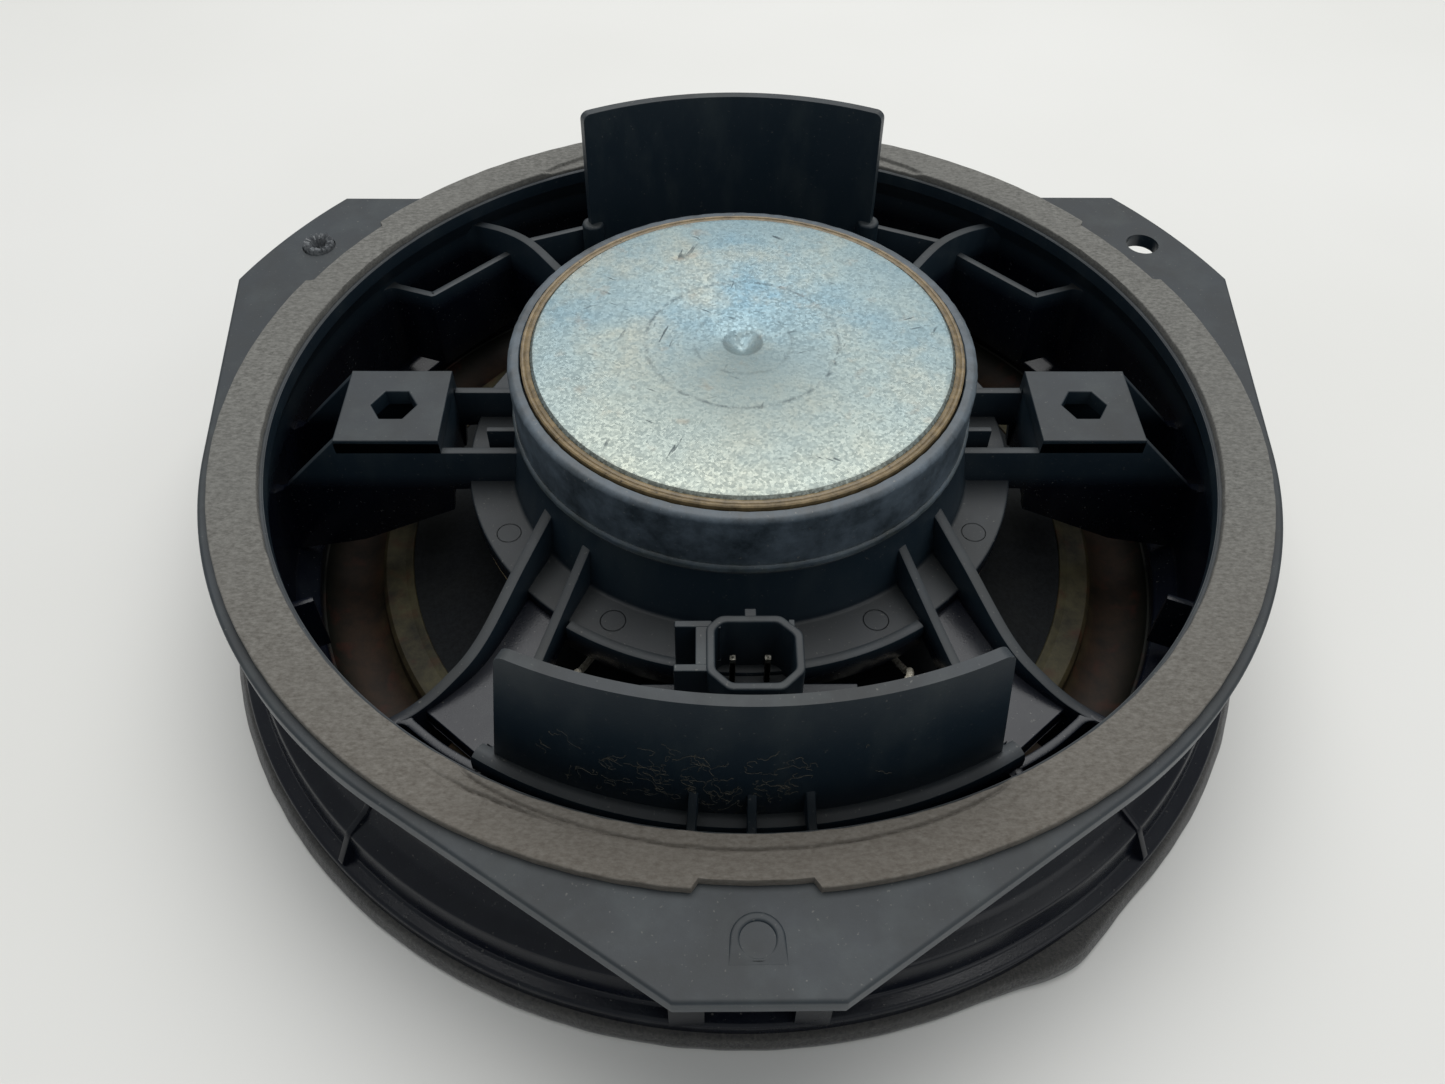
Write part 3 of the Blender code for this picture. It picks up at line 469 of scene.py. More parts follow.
def zinc_plate():
    """Steel with clear-passivated zinc: a pale blue and straw bloom, a paler front painted in as a
    highlight, a sparkling grain from the rolled surface, faint turned rings, scattered dark scratches and a
    dirty edge."""
    made, tree, shader, place = finish("zinc_plated_steel", Metallic=0.8)
    centred, radius = from_axis(tree, place)
    wander = add(tree, "MapRange", grain(tree, place, 12.0), 0.0, 1.0, -0.0005, 0.0005)
    radius = add(tree, "Math", radius, wander)
    # Painted highlight: the plate turns paler towards its front.
    near = add(tree, "MapRange", add(tree, "SeparateXYZ", centred, out="Y"), 0.008, -0.036)
    cells = add(tree, "TexVoronoi", place, 1 / (0.5 * MM), out="Color")
    spark = add(tree, "SeparateColor", cells)
    layers = [
        ("909b97", grain(tree, place, 34.0, 0.34, 0.66, 6.0, 0.6)),
        ("a49d88", grain(tree, centred, 15.0, 0.48, 0.72, 5.0, 0.65), 0.5),
        ("a9ada0", near, 0.7),
        ("5f7178", spark, 0.3),
    ]
    for ring, width, weight in ((18.6, 0.6, 0.7), (9.4, 0.7, 0.4), (33.0, 0.5, 0.12)):
        away = add(tree, "Math", radius, ring * MM, operation="SUBTRACT")
        away = add(tree, "Math", away, operation="ABSOLUTE")
        line = add(tree, "MapRange", away, 0.0, width * MM, weight, 0.0)
        layers.append(("404a4e", line, grain(tree, place, 2.2, 0.42, 0.6, 4.0, 0.7)))
    for angle, size in ((0.5, 1.0), (1.9, 1.4), (2.8, 1.2)):
        turned = add(tree, "Mapping", centred, None, (0.0, 0.0, angle))
        scratch = grain(tree, turned, size, 0.69, 0.73, 2.0, 0.5, (0.16, 1.0, 1.0))
        layers.append(("2a343a", scratch, grain(tree, turned, 9.0, 0.5, 0.62, 2.0), 0.75))
    layers.append(("8d7a66", grain(tree, centred, 6.0, 0.62, 0.75, 4.0), 0.35))
    dirt = add(tree, "MapRange", radius, (PLATE_R - 1.2) * MM, PLATE_R * MM)
    layers.append(("4c4d47", dirt, grain(tree, place, 0.6, 0.35, 0.6)))
    rough = add(tree, "MapRange", spark, 0.0, 1.0, 0.38, 0.62)
    pits = grain(tree, place, 0.8, None, None, 3.0, 0.6)
    relief = add(tree, "Math", spark, 0.6, pits, operation="MULTIPLY_ADD")
    coat(tree, shader, layered(tree, "6f8a96", *layers), rough, relief, 0.03, 0.7)
    return made


def boot_rubber():
    """Moulded EPDM rubber gone blue-grey with age: a satin skin, scuffs, and pale dust that has
    settled on its shoulder and in the hem."""
    made, tree, shader, place = finish("aged_rubber", IOR=1.5)
    height = add(tree, "SeparateXYZ", place, out="Z")
    cloud = grain(tree, place, 9.0, 0.34, 0.66, 7.0, 0.75)
    hem = add(tree, "MapRange", height, (BOOT_FOOT + 2.6) * MM, BOOT_FOOT * MM)
    patchy = add(tree, "MapRange", grain(tree, place, 2.0, None, None, 5.0, 0.7), 0.3, 0.7, 0.5, 1.0)
    crumbs = grain(tree, place, 3.0, 0.35, 0.65, 5.0, 0.7)
    speck = grain(tree, place, 0.8, 0.69, 0.76, 2.0)
    colour = layered(
        tree, "2a343b", ("596671", cloud), ("5f6658", hem, crumbs, 0.55),
        ("4d4b45", facing_up(tree), patchy, 0.35), ("a39d90", speck, 0.3),
    )
    rough = add(tree, "MapRange", cloud, 0.0, 1.0, 0.42, 0.6)
    coat(tree, shader, colour, rough, grain(tree, place, 1.6, None, None, 5.0, 0.65))
    return made


def amber_adhesive():
    """A cured bead of amber adhesive with dirt in its creases."""
    made, tree, shader, place = finish("amber_adhesive", Roughness=0.42)
    streak = grain(tree, place, 2.5, None, None, 5.0, 0.7)
    tone = add(tree, "MapRange", streak, 0.35, 0.65)
    colour = layered(tree, "54472f", ("7f6d4d", tone), ("33281c", grain(tree, place, 1.2, 0.66, 0.72)))
    coat(tree, shader, colour, None, streak, 0.03, 0.5)
    return made


def pressed_paper():
    """Pressed paper pulp, dyed black: matt, with short fibres and a slight radial drag."""
    made, tree, shader, place = finish("black_pressed_paper", Roughness=0.88, Specular_IOR_Level=0.2)
    fibre = grain(tree, place, 1.0, None, None, 6.0, 0.8)
    tone = add(tree, "MapRange", fibre, 0.35, 0.7)
    cloud = grain(tree, place, 18.0, 0.45, 0.75, 4.0)
    colour = layered(tree, "0b0d0f", ("1a1d1f", tone), ("23241f", cloud, 0.3))
    coat(tree, shader, colour, None, fibre, 0.08, 0.7)
    return made


def surround_rubber():
    """Coated foam rubber surround: olive brown, darker towards its outer edge, with rusty stains and broad
    dark patches painted in as shadow.
    """
    made, tree, shader, place = finish("brown_rubber", Roughness=0.62, Specular_IOR_Level=0.22)
    _, radius = from_axis(tree, place)
    olive = add(tree, "MapRange", radius, (ROLL_MIDDLE_R - 3.5) * MM, (ROLL_MIDDLE_R - 8.0) * MM)
    dark = add(tree, "MapRange", radius, (ROLL_MIDDLE_R + 2.5) * MM, (ROLL_MIDDLE_R + 6.5) * MM)
    colour = layered(
        tree, "2b1d11", ("3f3b27", olive), ("121510", dark),
        # Painted shadow: broad dark patches across the roll.
        ("0c0b08", grain(tree, place, 9.0, 0.36, 0.66, 6.0, 0.72), 0.85),
        ("3c1b10", grain(tree, place, 5.0, 0.55, 0.72, 4.0), 0.5),
    )
    coat(tree, shader, colour, None, grain(tree, place, 0.9, None, None, 4.0))
    return made


def spider_cloth():
    """Cotton cloth stiffened with phenolic resin: cream, with a plain weave of 0.6 mm threads."""
    made, tree, shader, place = finish("resin_treated_cloth", Roughness=0.85)
    scale = 1 / (0.6 * MM) / 3.14
    across, along = (add(tree, "TexWave", place, scale, out="Fac", bands_direction=way) for way in "XY")
    weave = add(tree, "Math", across, along, operation="MAXIMUM")
    stain = grain(tree, place, 10.0, 0.4, 0.7, 4.0)
    colour = layered(tree, "8a6f49", ("d8c39a", weave), ("9a7b4d", stain, 0.4))
    coat(tree, shader, colour, None, weave, 0.08, 0.7)
    return made


def tinned_metal(name, dark, light):
    """Tinned brass or copper: bright, slightly uneven, with a few dull spots."""
    made, tree, shader, place = finish(name, Metallic=1.0)
    uneven = grain(tree, place, 0.8, None, None, 4.0)
    rough = add(tree, "MapRange", uneven, 0.3, 0.7, 0.22, 0.42)
    tone = add(tree, "MapRange", uneven, 0.35, 0.65)
    coat(tree, shader, layered(tree, dark, (light, tone)), rough, uneven, 0.02, 0.5)
    return made


def plain_material(name, dark, light, rough, size, depth):
    """A hidden or small piece's matt material: two close tones in grains of this size."""
    made, tree, shader, place = finish(name, Roughness=rough)
    cells = grain(tree, place, size, None, None, 5.0, 0.7)
    tone = add(tree, "MapRange", cells, 0.35, 0.65)
    coat(tree, shader, layered(tree, dark, (light, tone)), None, cells, depth)
    return made


PLASTIC = moulded_polypropylene()
FOAM = gasket_foam()
FELT = needled_felt()
ZINC = zinc_plate()
RUBBER = boot_rubber()
ADHESIVE = amber_adhesive()
PAPER = pressed_paper()
ROLL = surround_rubber()
CLOTH = spider_cloth()
TIN = tinned_metal("tinned_brass", "5f5d55", "9b998f")
BRAID = plain_material("tinned_copper_braid", "a89f8a", "f0ebdc", 0.35, 0.5, 0.05)
COPPER = tinned_metal("enamelled_copper", "7a3d1c", "c07a45")
FERRITE = plain_material("sintered_ferrite", "1f2226", "34383d", 0.55, 0.8, 0.03)
FILM = plain_material("polyimide_film", "6b3d12", "9a5f22", 0.35, 6.0, 0.01)
GREY_NYLON = plain_material("grey_nylon", "3a3d40", "6f7274", 0.5, 0.7, 0.1)
LINT = plain_material("cotton_lint", "4e4b41", "777161", 0.95, 1.0, 0.02)


# ---------------------------------------------------------------- basket


def flange_radius(angle):
    """The flange's outer radius: a circle with three ears. The front ear's tip is straight, the
    back ears' tips are arcs. A tangent line joins each tip's corner to the circle, but the back
    ears' rear edges run level: r = R sin(corner) / sin(angle)."""
    tangent = math.acos(FLANGE_R / EAR_TIP_R)
    radius = np.full_like(angle, FLANGE_R)
    for ear, (centre, half) in enumerate(zip(EAR_ANGLES, EAR_HALF)):
        away = np.mod(angle - centre + math.pi, TAU) - math.pi
        far = np.abs(away)
        straight_tip = math.cos(half) / np.cos(np.minimum(far, half))
        tip = EAR_TIP_R * (np.full_like(far, 1.0) if ear else straight_tip)
        side = FLANGE_R / np.cos(np.clip(half + tangent - far, 0, tangent))
        reach = np.where(far <= half, tip, np.where(far <= half + tangent, side, 0))
        if ear:
            base = min(centre, math.pi - centre)
            level = EAR_TIP_R * math.sin(base + half) / np.sin(np.clip(base + far, 0.1, 3.0))
            level = np.where(far <= half + EAR_BACK_EDGE, level, 0)
            reach = np.where(((away > 0) == (centre < math.pi / 2)) & (far > half), level, reach)
        radius = np.maximum(radius, reach)
    return radius


def flange():
    """The flange and its ears, with each open ear hole cut by a Boolean."""
    tangent = math.acos(FLANGE_R / EAR_TIP_R)
    corners = [
        centre + side * (half + further)
        for centre, half in zip(EAR_ANGLES, EAR_HALF)
        for further in (0.0, EAR_BACK_EDGE, tangent)
        for side in (-1, 1)
    ]
    inner = lambda angle: np.full_like(angle, DRUM_R)
    low = FLANGE_TOP - FLANGE_THICK
    made = ring_section("flange", flange_radius, inner, low, FLANGE_TOP, 0.6, extra=corners)
    for number, angle in enumerate(EAR_HOLE_ANGLES):
        around = np.linspace(0, TAU, 48, endpoint=False)
        ring = turn(EAR_HOLE_CIRCLE, angle) + turn(EAR_HOLE_R, around)
        levels = [np.column_stack([ring, np.full(48, z)]) for z in (FLANGE_TOP - 9, FLANGE_TOP + 5)]
        drill = piece(f"ear_drill_{number}", np.concatenate(levels), tube_faces(2, 48), PLASTIC, None)
        cut = made.modifiers.new(f"ear_hole_{number}", "BOOLEAN")
        cut.operation, cut.solver, cut.object = "DIFFERENCE", "EXACT", drill
        bpy.context.view_layer.update()
        evaluated = made.evaluated_get(bpy.context.evaluated_depsgraph_get())
        mesh = bpy.data.meshes.new_from_object(evaluated)
        made.modifiers.clear()
        made.data = mesh
        bpy.data.objects.remove(drill)
    made.data.set_sharp_from_angle(angle=math.radians(38))
    return made


def drum():
    """The wall from the flange down to the front rim, with the ledge for the surround."""
    top = FLANGE_TOP - 0.2
    outline = [
        (DRUM_R, top), (DRUM_R, FLANGE_TOP - 3.0), (DRUM_WALL[0], FLANGE_TOP - 8.0), (DRUM_WALL[0], 14.0),
        (92.0, 12.0), (92.0, LEDGE_Z), (100.3, LEDGE_Z), (100.3, FELT_TOP), (RIM_R, FELT_TOP), (RIM_R, 6.4),
        (106.8, 6.8), (105.9, 13.3), (102.4, 14.5), (DRUM_WALL[1], 18.4), (DRUM_WALL[1], top),
    ]
    radii = [0.1, 1.0, 2.0, 2.0, 0.8, 0.3, 0.3, 0.3, 0.3, 0.9, 0.9, 1.1, 3.0, 4.0, 0.1]
    return lathe("drum_wall", fillet(outline, radii), PLASTIC, segments=360, sharp=50)


def hub():
    """The collar under the magnet, with the deck ring round it."""
    outline = [
        (41.6, BOOT_FOOT - 0.3), (HUB_R[0], BOOT_FOOT - 0.3), (HUB_R[1], DECK_TOP), (DECK_R, DECK_TOP),
        (DECK_R, DECK_BOTTOM), (50.0, DECK_BOTTOM), (46.0, 33.0), (42.0, 38.3), (36.0, 38.3), (36.0, 41.0),
        (41.6, 41.0),
    ]
    radii = [0.2, 0.5, 0.9, 0.5, 0.3, 0.3, 0.5, 0.5, 0.3, 0.1, 0.1]
    rib("deck_front_lip", arc(57.6, -90.0, 34.0, DECK_BOTTOM + 0.1, DECK_TOP + 1.7), 2.2, edge=0.6)
    return lathe("hub_collar", fillet(outline, radii), PLASTIC)


def pin_marks():
    """Shallow rings left by the mould's ejector pins on the deck."""
    for number, angle in enumerate((-152, -118, -62, -28, 28, 62, 118, 152)):
        centre = turn(52.0, math.radians(angle))
        outer, inner = (lambda t, r=r: np.full_like(t, r) for r in (2.5, 2.2))
        low, high = DECK_TOP - 0.3, DECK_TOP + 0.03
        ring_section(f"pin_mark_{number}", outer, inner, low, high, 0.02, centre)


def recess_ribs():
    """Thin triangular gussets and square ear columns in the recess above the front rim, and a
    short rib inside the drum in front of each nut pad."""
    for ear, centre in enumerate(np.degrees(EAR_ANGLES)):
        for number, offset in enumerate((-43.0, 43.0)):
            sizes = ((98.4, 15.0, 19.8), (101.6, 12.0, 16.2), (105.8, 5.0, 13.9), (109.3, 5.0, 7.6))
            stations = [(*turn(r, math.radians(centre + offset)), low, top) for r, low, top in sizes]
            rib(f"recess_gusset_{ear}_{number}", straight(stations, 16), 1.3, (0.8, 0.0), 0.3)
        for side in (-1, 1):
            cos, sin = turn(1.0, math.radians(centre))
            middle = side * 10.6
            at = lambda radius: (radius * cos - middle * sin, radius * sin + middle * cos)
            sizes = ((97.0, 20.2), (101.2, 14.2), (104.8, 5.6), (109.2, 5.6))
            stations = [(*at(radius), low, 45.2) for radius, low in sizes]
            rib(f"ear_column_{ear}_{side}", straight(stations, 8), 6.0, edge=0.4)
    for side, word in ((-1, "left"), (1, "right")):
        ends = [turn(radius, math.radians(-23.5)) for radius in (90.8, DRUM_TIE)]
        stations = [(side * x, y, 16.0, 30.0) for x, y in ends]
        rib(f"{word}_drum_tab", straight(stations, 12), 1.5, (0.0, 1.6))


def mirrored(side, *rows):
    """Rows given for the right side, with x turned round for the left one."""
    return np.array(rows) * ([side] + [1] * (len(rows[0]) - 1))


def pad_spoke(side, word):
    """A nut pad on its two sloping side walls, with the ribs that run in to the hub."""
    near, far = PAD_X - PAD_HALF, PAD_X + PAD_HALF
    middle_y = 0.1
    for sign, top in ((-1, 43.5), (1, 42.4)):
        y = middle_y + sign * (PAD_HALF - RIB / 2)
        wall = mirrored(
            side,
            (42.5, y, 33.6, top), (59.2, y, 33.0, top), (near - 0.1, y, 27.0, top),
            (near, y, 26.8, FLANGE_TOP - 0.6), (far, y, 17.2, FLANGE_TOP - 0.4),
            (94.2, y, 14.5, 32.8), (DRUM_TIE, y, 14.5, 32.0),
        )
        rib(f"{word}_spoke_wall_{sign}", straight(wall, 40), RIB, (1.2, 3.0))
    square = PAD_HALF * np.array([(-1, -1), (1, -1), (1, 1), (-1, 1)])
    hexagon = turn(HEX_R, np.radians(np.arange(0, 360, 60)))
    extra = np.radians(np.concatenate([np.arange(0, 360, 60), np.arange(45, 360, 90)]))
    outer, inner = polygon_radius(square), polygon_radius(hexagon)
    centre = (side * PAD_X, middle_y)
    ring_section(f"{word}_nut_pad", outer, inner, FLANGE_TOP - PAD_THICK, FLANGE_TOP, 0.3, centre, extra)
    end = mirrored(side, *((near + 1.1, middle_y + sign * (PAD_HALF - 1), 27.5, 46.0) for sign in (-1, 1)))
    rib(f"{word}_pad_end", straight(end, 12))
    middle = mirrored(side, (42.6, 0.0, 34.2, 40.3), (52.5, 0.0, 34.2, 40.3))
    rib(f"{word}_middle_rib", straight(middle, 12), 1.4, (1.0, 0.0))
    web = mirrored(side, (42.0, 9.6), (53.2, 10.2), (47.6, 22.0), (41.0, 21.4))
    slab(f"{word}_spoke_web", web, 39.4, 41.4)


def front_spoke(side, word):
    """A front spoke: a long curved rib, a nearly straight inner rib and the floor between them."""
    outer = mirrored(
        side,
        (35.4, -23.0, 33.8, 45.4), (41.5, -37.5, 32.6, 42.0), (47.6, -52.0, 26.0, 38.2),
        (52.8, -59.0, 21.0, 36.0), (59.0, -64.4, 18.0, 34.2), (68.2, -69.5, 15.5, 33.0),
    )
    inner = mirrored(side, (28.2, -32.4, 34.0, 45.2), (36.2, -53.0, 30.9, 38.0), (42.6, -74.2, 24.0, 36.4))
    branch = mirrored(side, (60.4, -65.2, 18.6, 33.9), (52.8, -71.3, 18.6, 33.7), (44.0, -76.6, 18.6, 33.6))
    tie = mirrored(side, (43.2, -71.9, 18.6, 34.2), (50.2, -83.4, 18.6, 33.0))
    floor = mirrored(
        side,
        (42.8, -37.0), (32.0, -41.0), (36.2, -52.6), (42.0, -72.5), (45.0, -74.0), (57.0, -63.6),
        (47.0, -52.0),
    )
    rib(f"{word}_front_rib", through(outer, 90), 2.2, (1.0, 3.6))
    rib(f"{word}_front_inner_rib", through(inner, 60), 1.9, (1.0, 2.0))
    rib(f"{word}_front_branch", through(branch, 40), 1.7, (2.4, 2.0))
    rib(f"{word}_front_tie", straight(tie, 20), 1.6, (1.2, 2.0))
    slab(f"{word}_front_floor", floor, 30.6, 33.2, 0.3)


def back_spoke(side, word):
    """A back spoke: a curved rib with a bent ledge rib outside it and a cross rib inside it."""
    curved = mirrored(
        side,
        (30.4, 31.4, 34.0, 46.6), (40.7, 47.5, 31.3, 45.2), (48.6, 58.8, 24.0, 44.6),
        (55.8, 65.8, 18.0, 43.4), (65.0, 72.6, 16.0, 41.0),
    )
    ledge = mirrored(side, (82.5, 51.8, 17.5, 38.0), (71.4, 47.8, 17.5, 38.0), (54.4, 65.2, 19.5, 38.0))
    cross = mirrored(side, (50.8, 60.9, 25.0, 43.6), (33.6, 68.0, 25.0, 43.6))
    rib(f"{word}_back_rib", through(curved, 90), 2.2, (1.0, 3.2))
    rib(f"{word}_back_ledge", straight(ledge, 60), 1.8, (3.0, 1.5))
    rib(f"{word}_back_cross", straight(cross, 30), 1.6, (1.5, 2.0))


def shield_wall(name, radius, centre, top, low, splay, corner, right=WALL_HALF, left=WALL_HALF):
    """A wall on an arc whose ends lean outwards by splay degrees at its foot: the angle is
    centre + u (half + splay (1 - v)), the height low + v (top(u) - low), and top(u) falls by
    corner - sqrt(corner^2 - (corner - distance)^2) near each end."""
    u = np.concatenate([np.linspace(-1, -0.92, 22), np.linspace(-0.9, 0.9, 60), np.linspace(0.92, 1, 22)])
    v = np.linspace(0, 1, 16)[:, None]
    half = np.where(u < 0, right, left)
    angle = np.radians(centre + u * (half + splay * (1 - v)))
    distance = (1 - np.abs(u)) * np.radians(half) * radius
    level = top - corner + np.sqrt(corner**2 - np.clip(corner - distance, 0, corner) ** 2)
    height = low + v * (level - low)
    skins = [
        np.concatenate([turn(r, angle), np.broadcast_to(height, angle.shape)[..., None]], axis=-1)
        for r in (radius - WALL / 2, radius + WALL / 2)
    ]
    rows, columns = angle.shape
    count = rows * columns
    order = np.arange(count).reshape(rows, columns)
    faces = grid_faces(rows, columns, False, False)
    rim = np.concatenate([order[0], order[1:, -1], order[-1, -2::-1], order[-2:0:-1, 0]])
    after = np.roll(rim, -1)
    band = np.stack([rim, after, after + count, rim + count], axis=1)
    faces = np.concatenate([faces[:, ::-1], faces + count, band])
    made = piece(name, np.concatenate([s.reshape(-1, 3) for s in skins]), faces, PLASTIC)
    return bevelled(made, 0.45, 3)


def front_wall():
    """The front shield wall, the bead at its foot and the three fins that tie it to the drum."""
    shield_wall("front_shield_wall", FRONT_WALL_R, -90.0, FRONT_WALL_TOP, 19.0, 5.2, 2.4)
    rib("front_wall_bead", arc(FRONT_WALL_R + 1.8, -90.0, 31.8, 33.0, 37.4), 4.0, edge=1.6)
    for number, offset in enumerate((-6.2, 0.0, 6.2)):
        ends = [turn(r, math.radians(-90 + offset)) for r in (FRONT_WALL_R + 0.4, DRUM_TIE)]
        middle = ends[0] * 0.6 + ends[1] * 0.4
        stations = [(*ends[0], 19.6, 44.5), (*middle, 17.5, 38.6), (*ends[1], 15.2, 36.0)]
        rib(f"front_wall_fin_{number}", through(stations, 24), 1.5, (0.8, 1.2))


def back_wall():
    """The back shield wall, the columns at its foot and the ribs that tie it to the hub."""
    shield_wall(
        "back_shield_wall", BACK_WALL_R, 90.0, BACK_WALL_TOP, 24.0, 0.4, 1.8, left=BACK_WALL_LEFT
    )
    for side, word, half in ((1, "left", BACK_WALL_LEFT), (-1, "right", WALL_HALF)):
        foot = turn(BACK_WALL_R, math.radians(90 + side * (half - 0.4)))
        column = foot + turn(2.6, np.linspace(0, TAU, 32, endpoint=False))
        slab(f"{word}_wall_column", column, 24.5, 46.6, 0.9)
        ends = [turn(r, math.radians(90 + side * 15)) for r in (42.6, BACK_WALL_R)]
        stations = [(*ends[0], 34.3, 44.4), (*ends[1], 29.6, 42.0)]
        rib(f"{word}_wall_stay", straight(stations, 24), 2.0, (1.0, 1.0))


def ear_mark():
    """The blind screw mark on the front ear: a low U-shaped boss round a shallow dish. The boss
    sinks into the ear towards the front: rise times the share of the way back."""
    top = turn(4.0, np.linspace(0, math.pi, 24))
    boss = np.concatenate([top, [(-4.2, -3.6), (4.2, -3.6)]])
    dish = lambda angle: np.full_like(angle, 2.6)
    extra = np.arctan2(boss[:, 1], boss[:, 0])
    low, high = FLANGE_TOP - 0.5, FLANGE_TOP + 0.45
    centre = (0.0, -EAR_HOLE_CIRCLE + 0.6)
    made = ring_section("ear_mark", polygon_radius(boss), dish, low, high, 0.4, centre, extra)
    points = np.empty(len(made.data.vertices) * 3)
    made.data.vertices.foreach_get("co", points)
    points = points.reshape(-1, 3)
    share = np.clip((points[:, 1] / MM - AXIS[1] - centre[1] + 3.6) / 5.0, 0, 1)
    rise = np.maximum(points[:, 2] - FLANGE_TOP * MM, 0)
    points[:, 2] -= rise * (1 - share)
    made.data.vertices.foreach_set("co", points.ravel())
    floor = np.array(centre) + turn(2.8, np.linspace(0, TAU, 48, endpoint=False))
    slab("ear_mark_floor", floor, low, FLANGE_TOP + 0.1, 0.05)


def basket():
    """The one-piece moulded basket, as the surfaces that make it up."""
    body = flange()
    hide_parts("basket")
    drum()
    hub()
    pin_marks()
    recess_ribs()
    front_wall()
    back_wall()
    ear_mark()
    neck = [(-12.8, -59.0), (-12.8, -54.5), (9.6, -54.5), (9.6, -59.0)]
    outline = [(-19.0, -59.0), *neck, (20.0, -59.0), (20.0, -82.5), (-19.0, -82.5)]
    slab("connector_shelf", outline, 31.9, 34.3, 0.3)
    for side, word in ((-1, "left"), (1, "right")):
        pad_spoke(side, word)
        front_spoke(side, word)
        back_spoke(side, word)


# ---------------------------------------------------------------- gaskets


def uneven(angle, seed, size, waves=9):
    """A seamless random line round the ring: a sum of sines of whole numbers of turns."""
    rng = np.random.default_rng(seed)
    turns = rng.integers(3, 120, waves)
    phase = rng.uniform(0, TAU, waves)
    return size * np.sin(angle[..., None] * turns + phase).sum(axis=-1) / math.sqrt(waves)


def rear_gasket():
    """The foam ring: notched at the ears and pressed down along its inner edge at front and back.
    Height falls by press where the radius is under a crescent's edge."""
    count, across = 1440, 60
    angle = np.linspace(0, TAU, count, endpoint=False)
    outer = GASKET_R + uneven(angle, 3, 0.04)
    for centre, half in zip(EAR_ANGLES, NOTCH_HALF):
        away = np.abs(np.mod(angle - centre + math.pi, TAU) - math.pi)
        outer -= 1.6 * np.clip((half - away) / math.radians(0.3) + 0.5, 0, 1)
    inner = GASKET_INNER_R + uneven(angle, 5, 0.05)
    share = np.linspace(0, 1, across)
    radius = inner[:, None] + (outer - inner)[:, None] * share
    height = np.full_like(radius, GASKET_TOP) + uneven(angle, 9, 0.03)[:, None]
    degrees = np.degrees(angle)[:, None]
    for centre, half, wide, press, groove in ((-92.0, 27.0, 2.6, 0.3, 0.9), (90.0, 30.0, 4.4, 0.85, 0.0)):
        away = np.mod(degrees - centre + 180, 360) - 180
        edge = GASKET_INNER_R + wide * np.sqrt(np.clip(1 - (away / half) ** 2, 0, 1))
        edge += uneven(angle, 11, 0.05)[:, None]
        within = np.clip((half - np.abs(away)) / 1.5, 0, 1)
        height -= press * np.clip((edge - radius) / 0.35, 0, 1) * within
        height -= groove * np.exp(-(((radius - edge) / 0.28) ** 2)) * within
    torn = np.exp(-(((degrees - 247.0) / 7.0) ** 2))
    second = 97.6 + uneven(angle, 13, 0.16)[:, None]
    height -= 0.8 * torn * np.exp(-(((radius - second) / 0.28) ** 2))
    height[:, [0, -1]] -= 0.25
    low = np.full((count, 1), FLANGE_TOP)
    radius = np.concatenate([inner[:, None], radius, outer[:, None]], axis=1)
    height = np.concatenate([low, height, low], axis=1)
    points = np.concatenate([turn(radius, angle[:, None]), height[..., None]], axis=-1)
    made = piece("gasket_ring", points, grid_faces(count, across + 2, True, True), FOAM, sharp=60)
    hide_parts("rear_gasket")


def front_gasket():
    """The felt ring under the front rim. It bulges out where it has come loose, at front right."""

    def wobble(radius, angle, height):
        outside = np.clip((radius - 103.0) / 6.0, 0, 1)
        swell = np.exp(-(((np.mod(np.degrees(angle) + 180, 360) - 180 + 59.0) / 5.5) ** 2))
        loose = uneven(np.broadcast_to(angle, radius.shape), 21, 0.05)
        return radius + outside * (2.6 * swell + loose), height + outside * (1.8 * swell) * (height > 1)

    inner = FELT_INNER_R
    outline = [
        (inner, 0.0), (FELT_R, 0.0), (FELT_R + 0.2, 1.6), (FELT_R - 1.0, FELT_TOP + 0.3), (inner, FELT_TOP)
    ]
    profile = fillet(outline, [0.3, 1.0, 1.2, 1.2, 0.3])
    made = lathe("felt_ring", profile, FELT, segments=720, wobble=wobble)
    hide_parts("front_gasket")


# ---------------------------------------------------------------- motor


def wavy(seed, size):
    """A wobble for lathe() that runs a little out of true, in radius and in height."""

    def wobble(radius, angle, height):
        flat = np.broadcast_to(angle, radius.shape)
        return radius + uneven(flat, seed, size), height + uneven(flat, seed + 2, size)

    return wobble


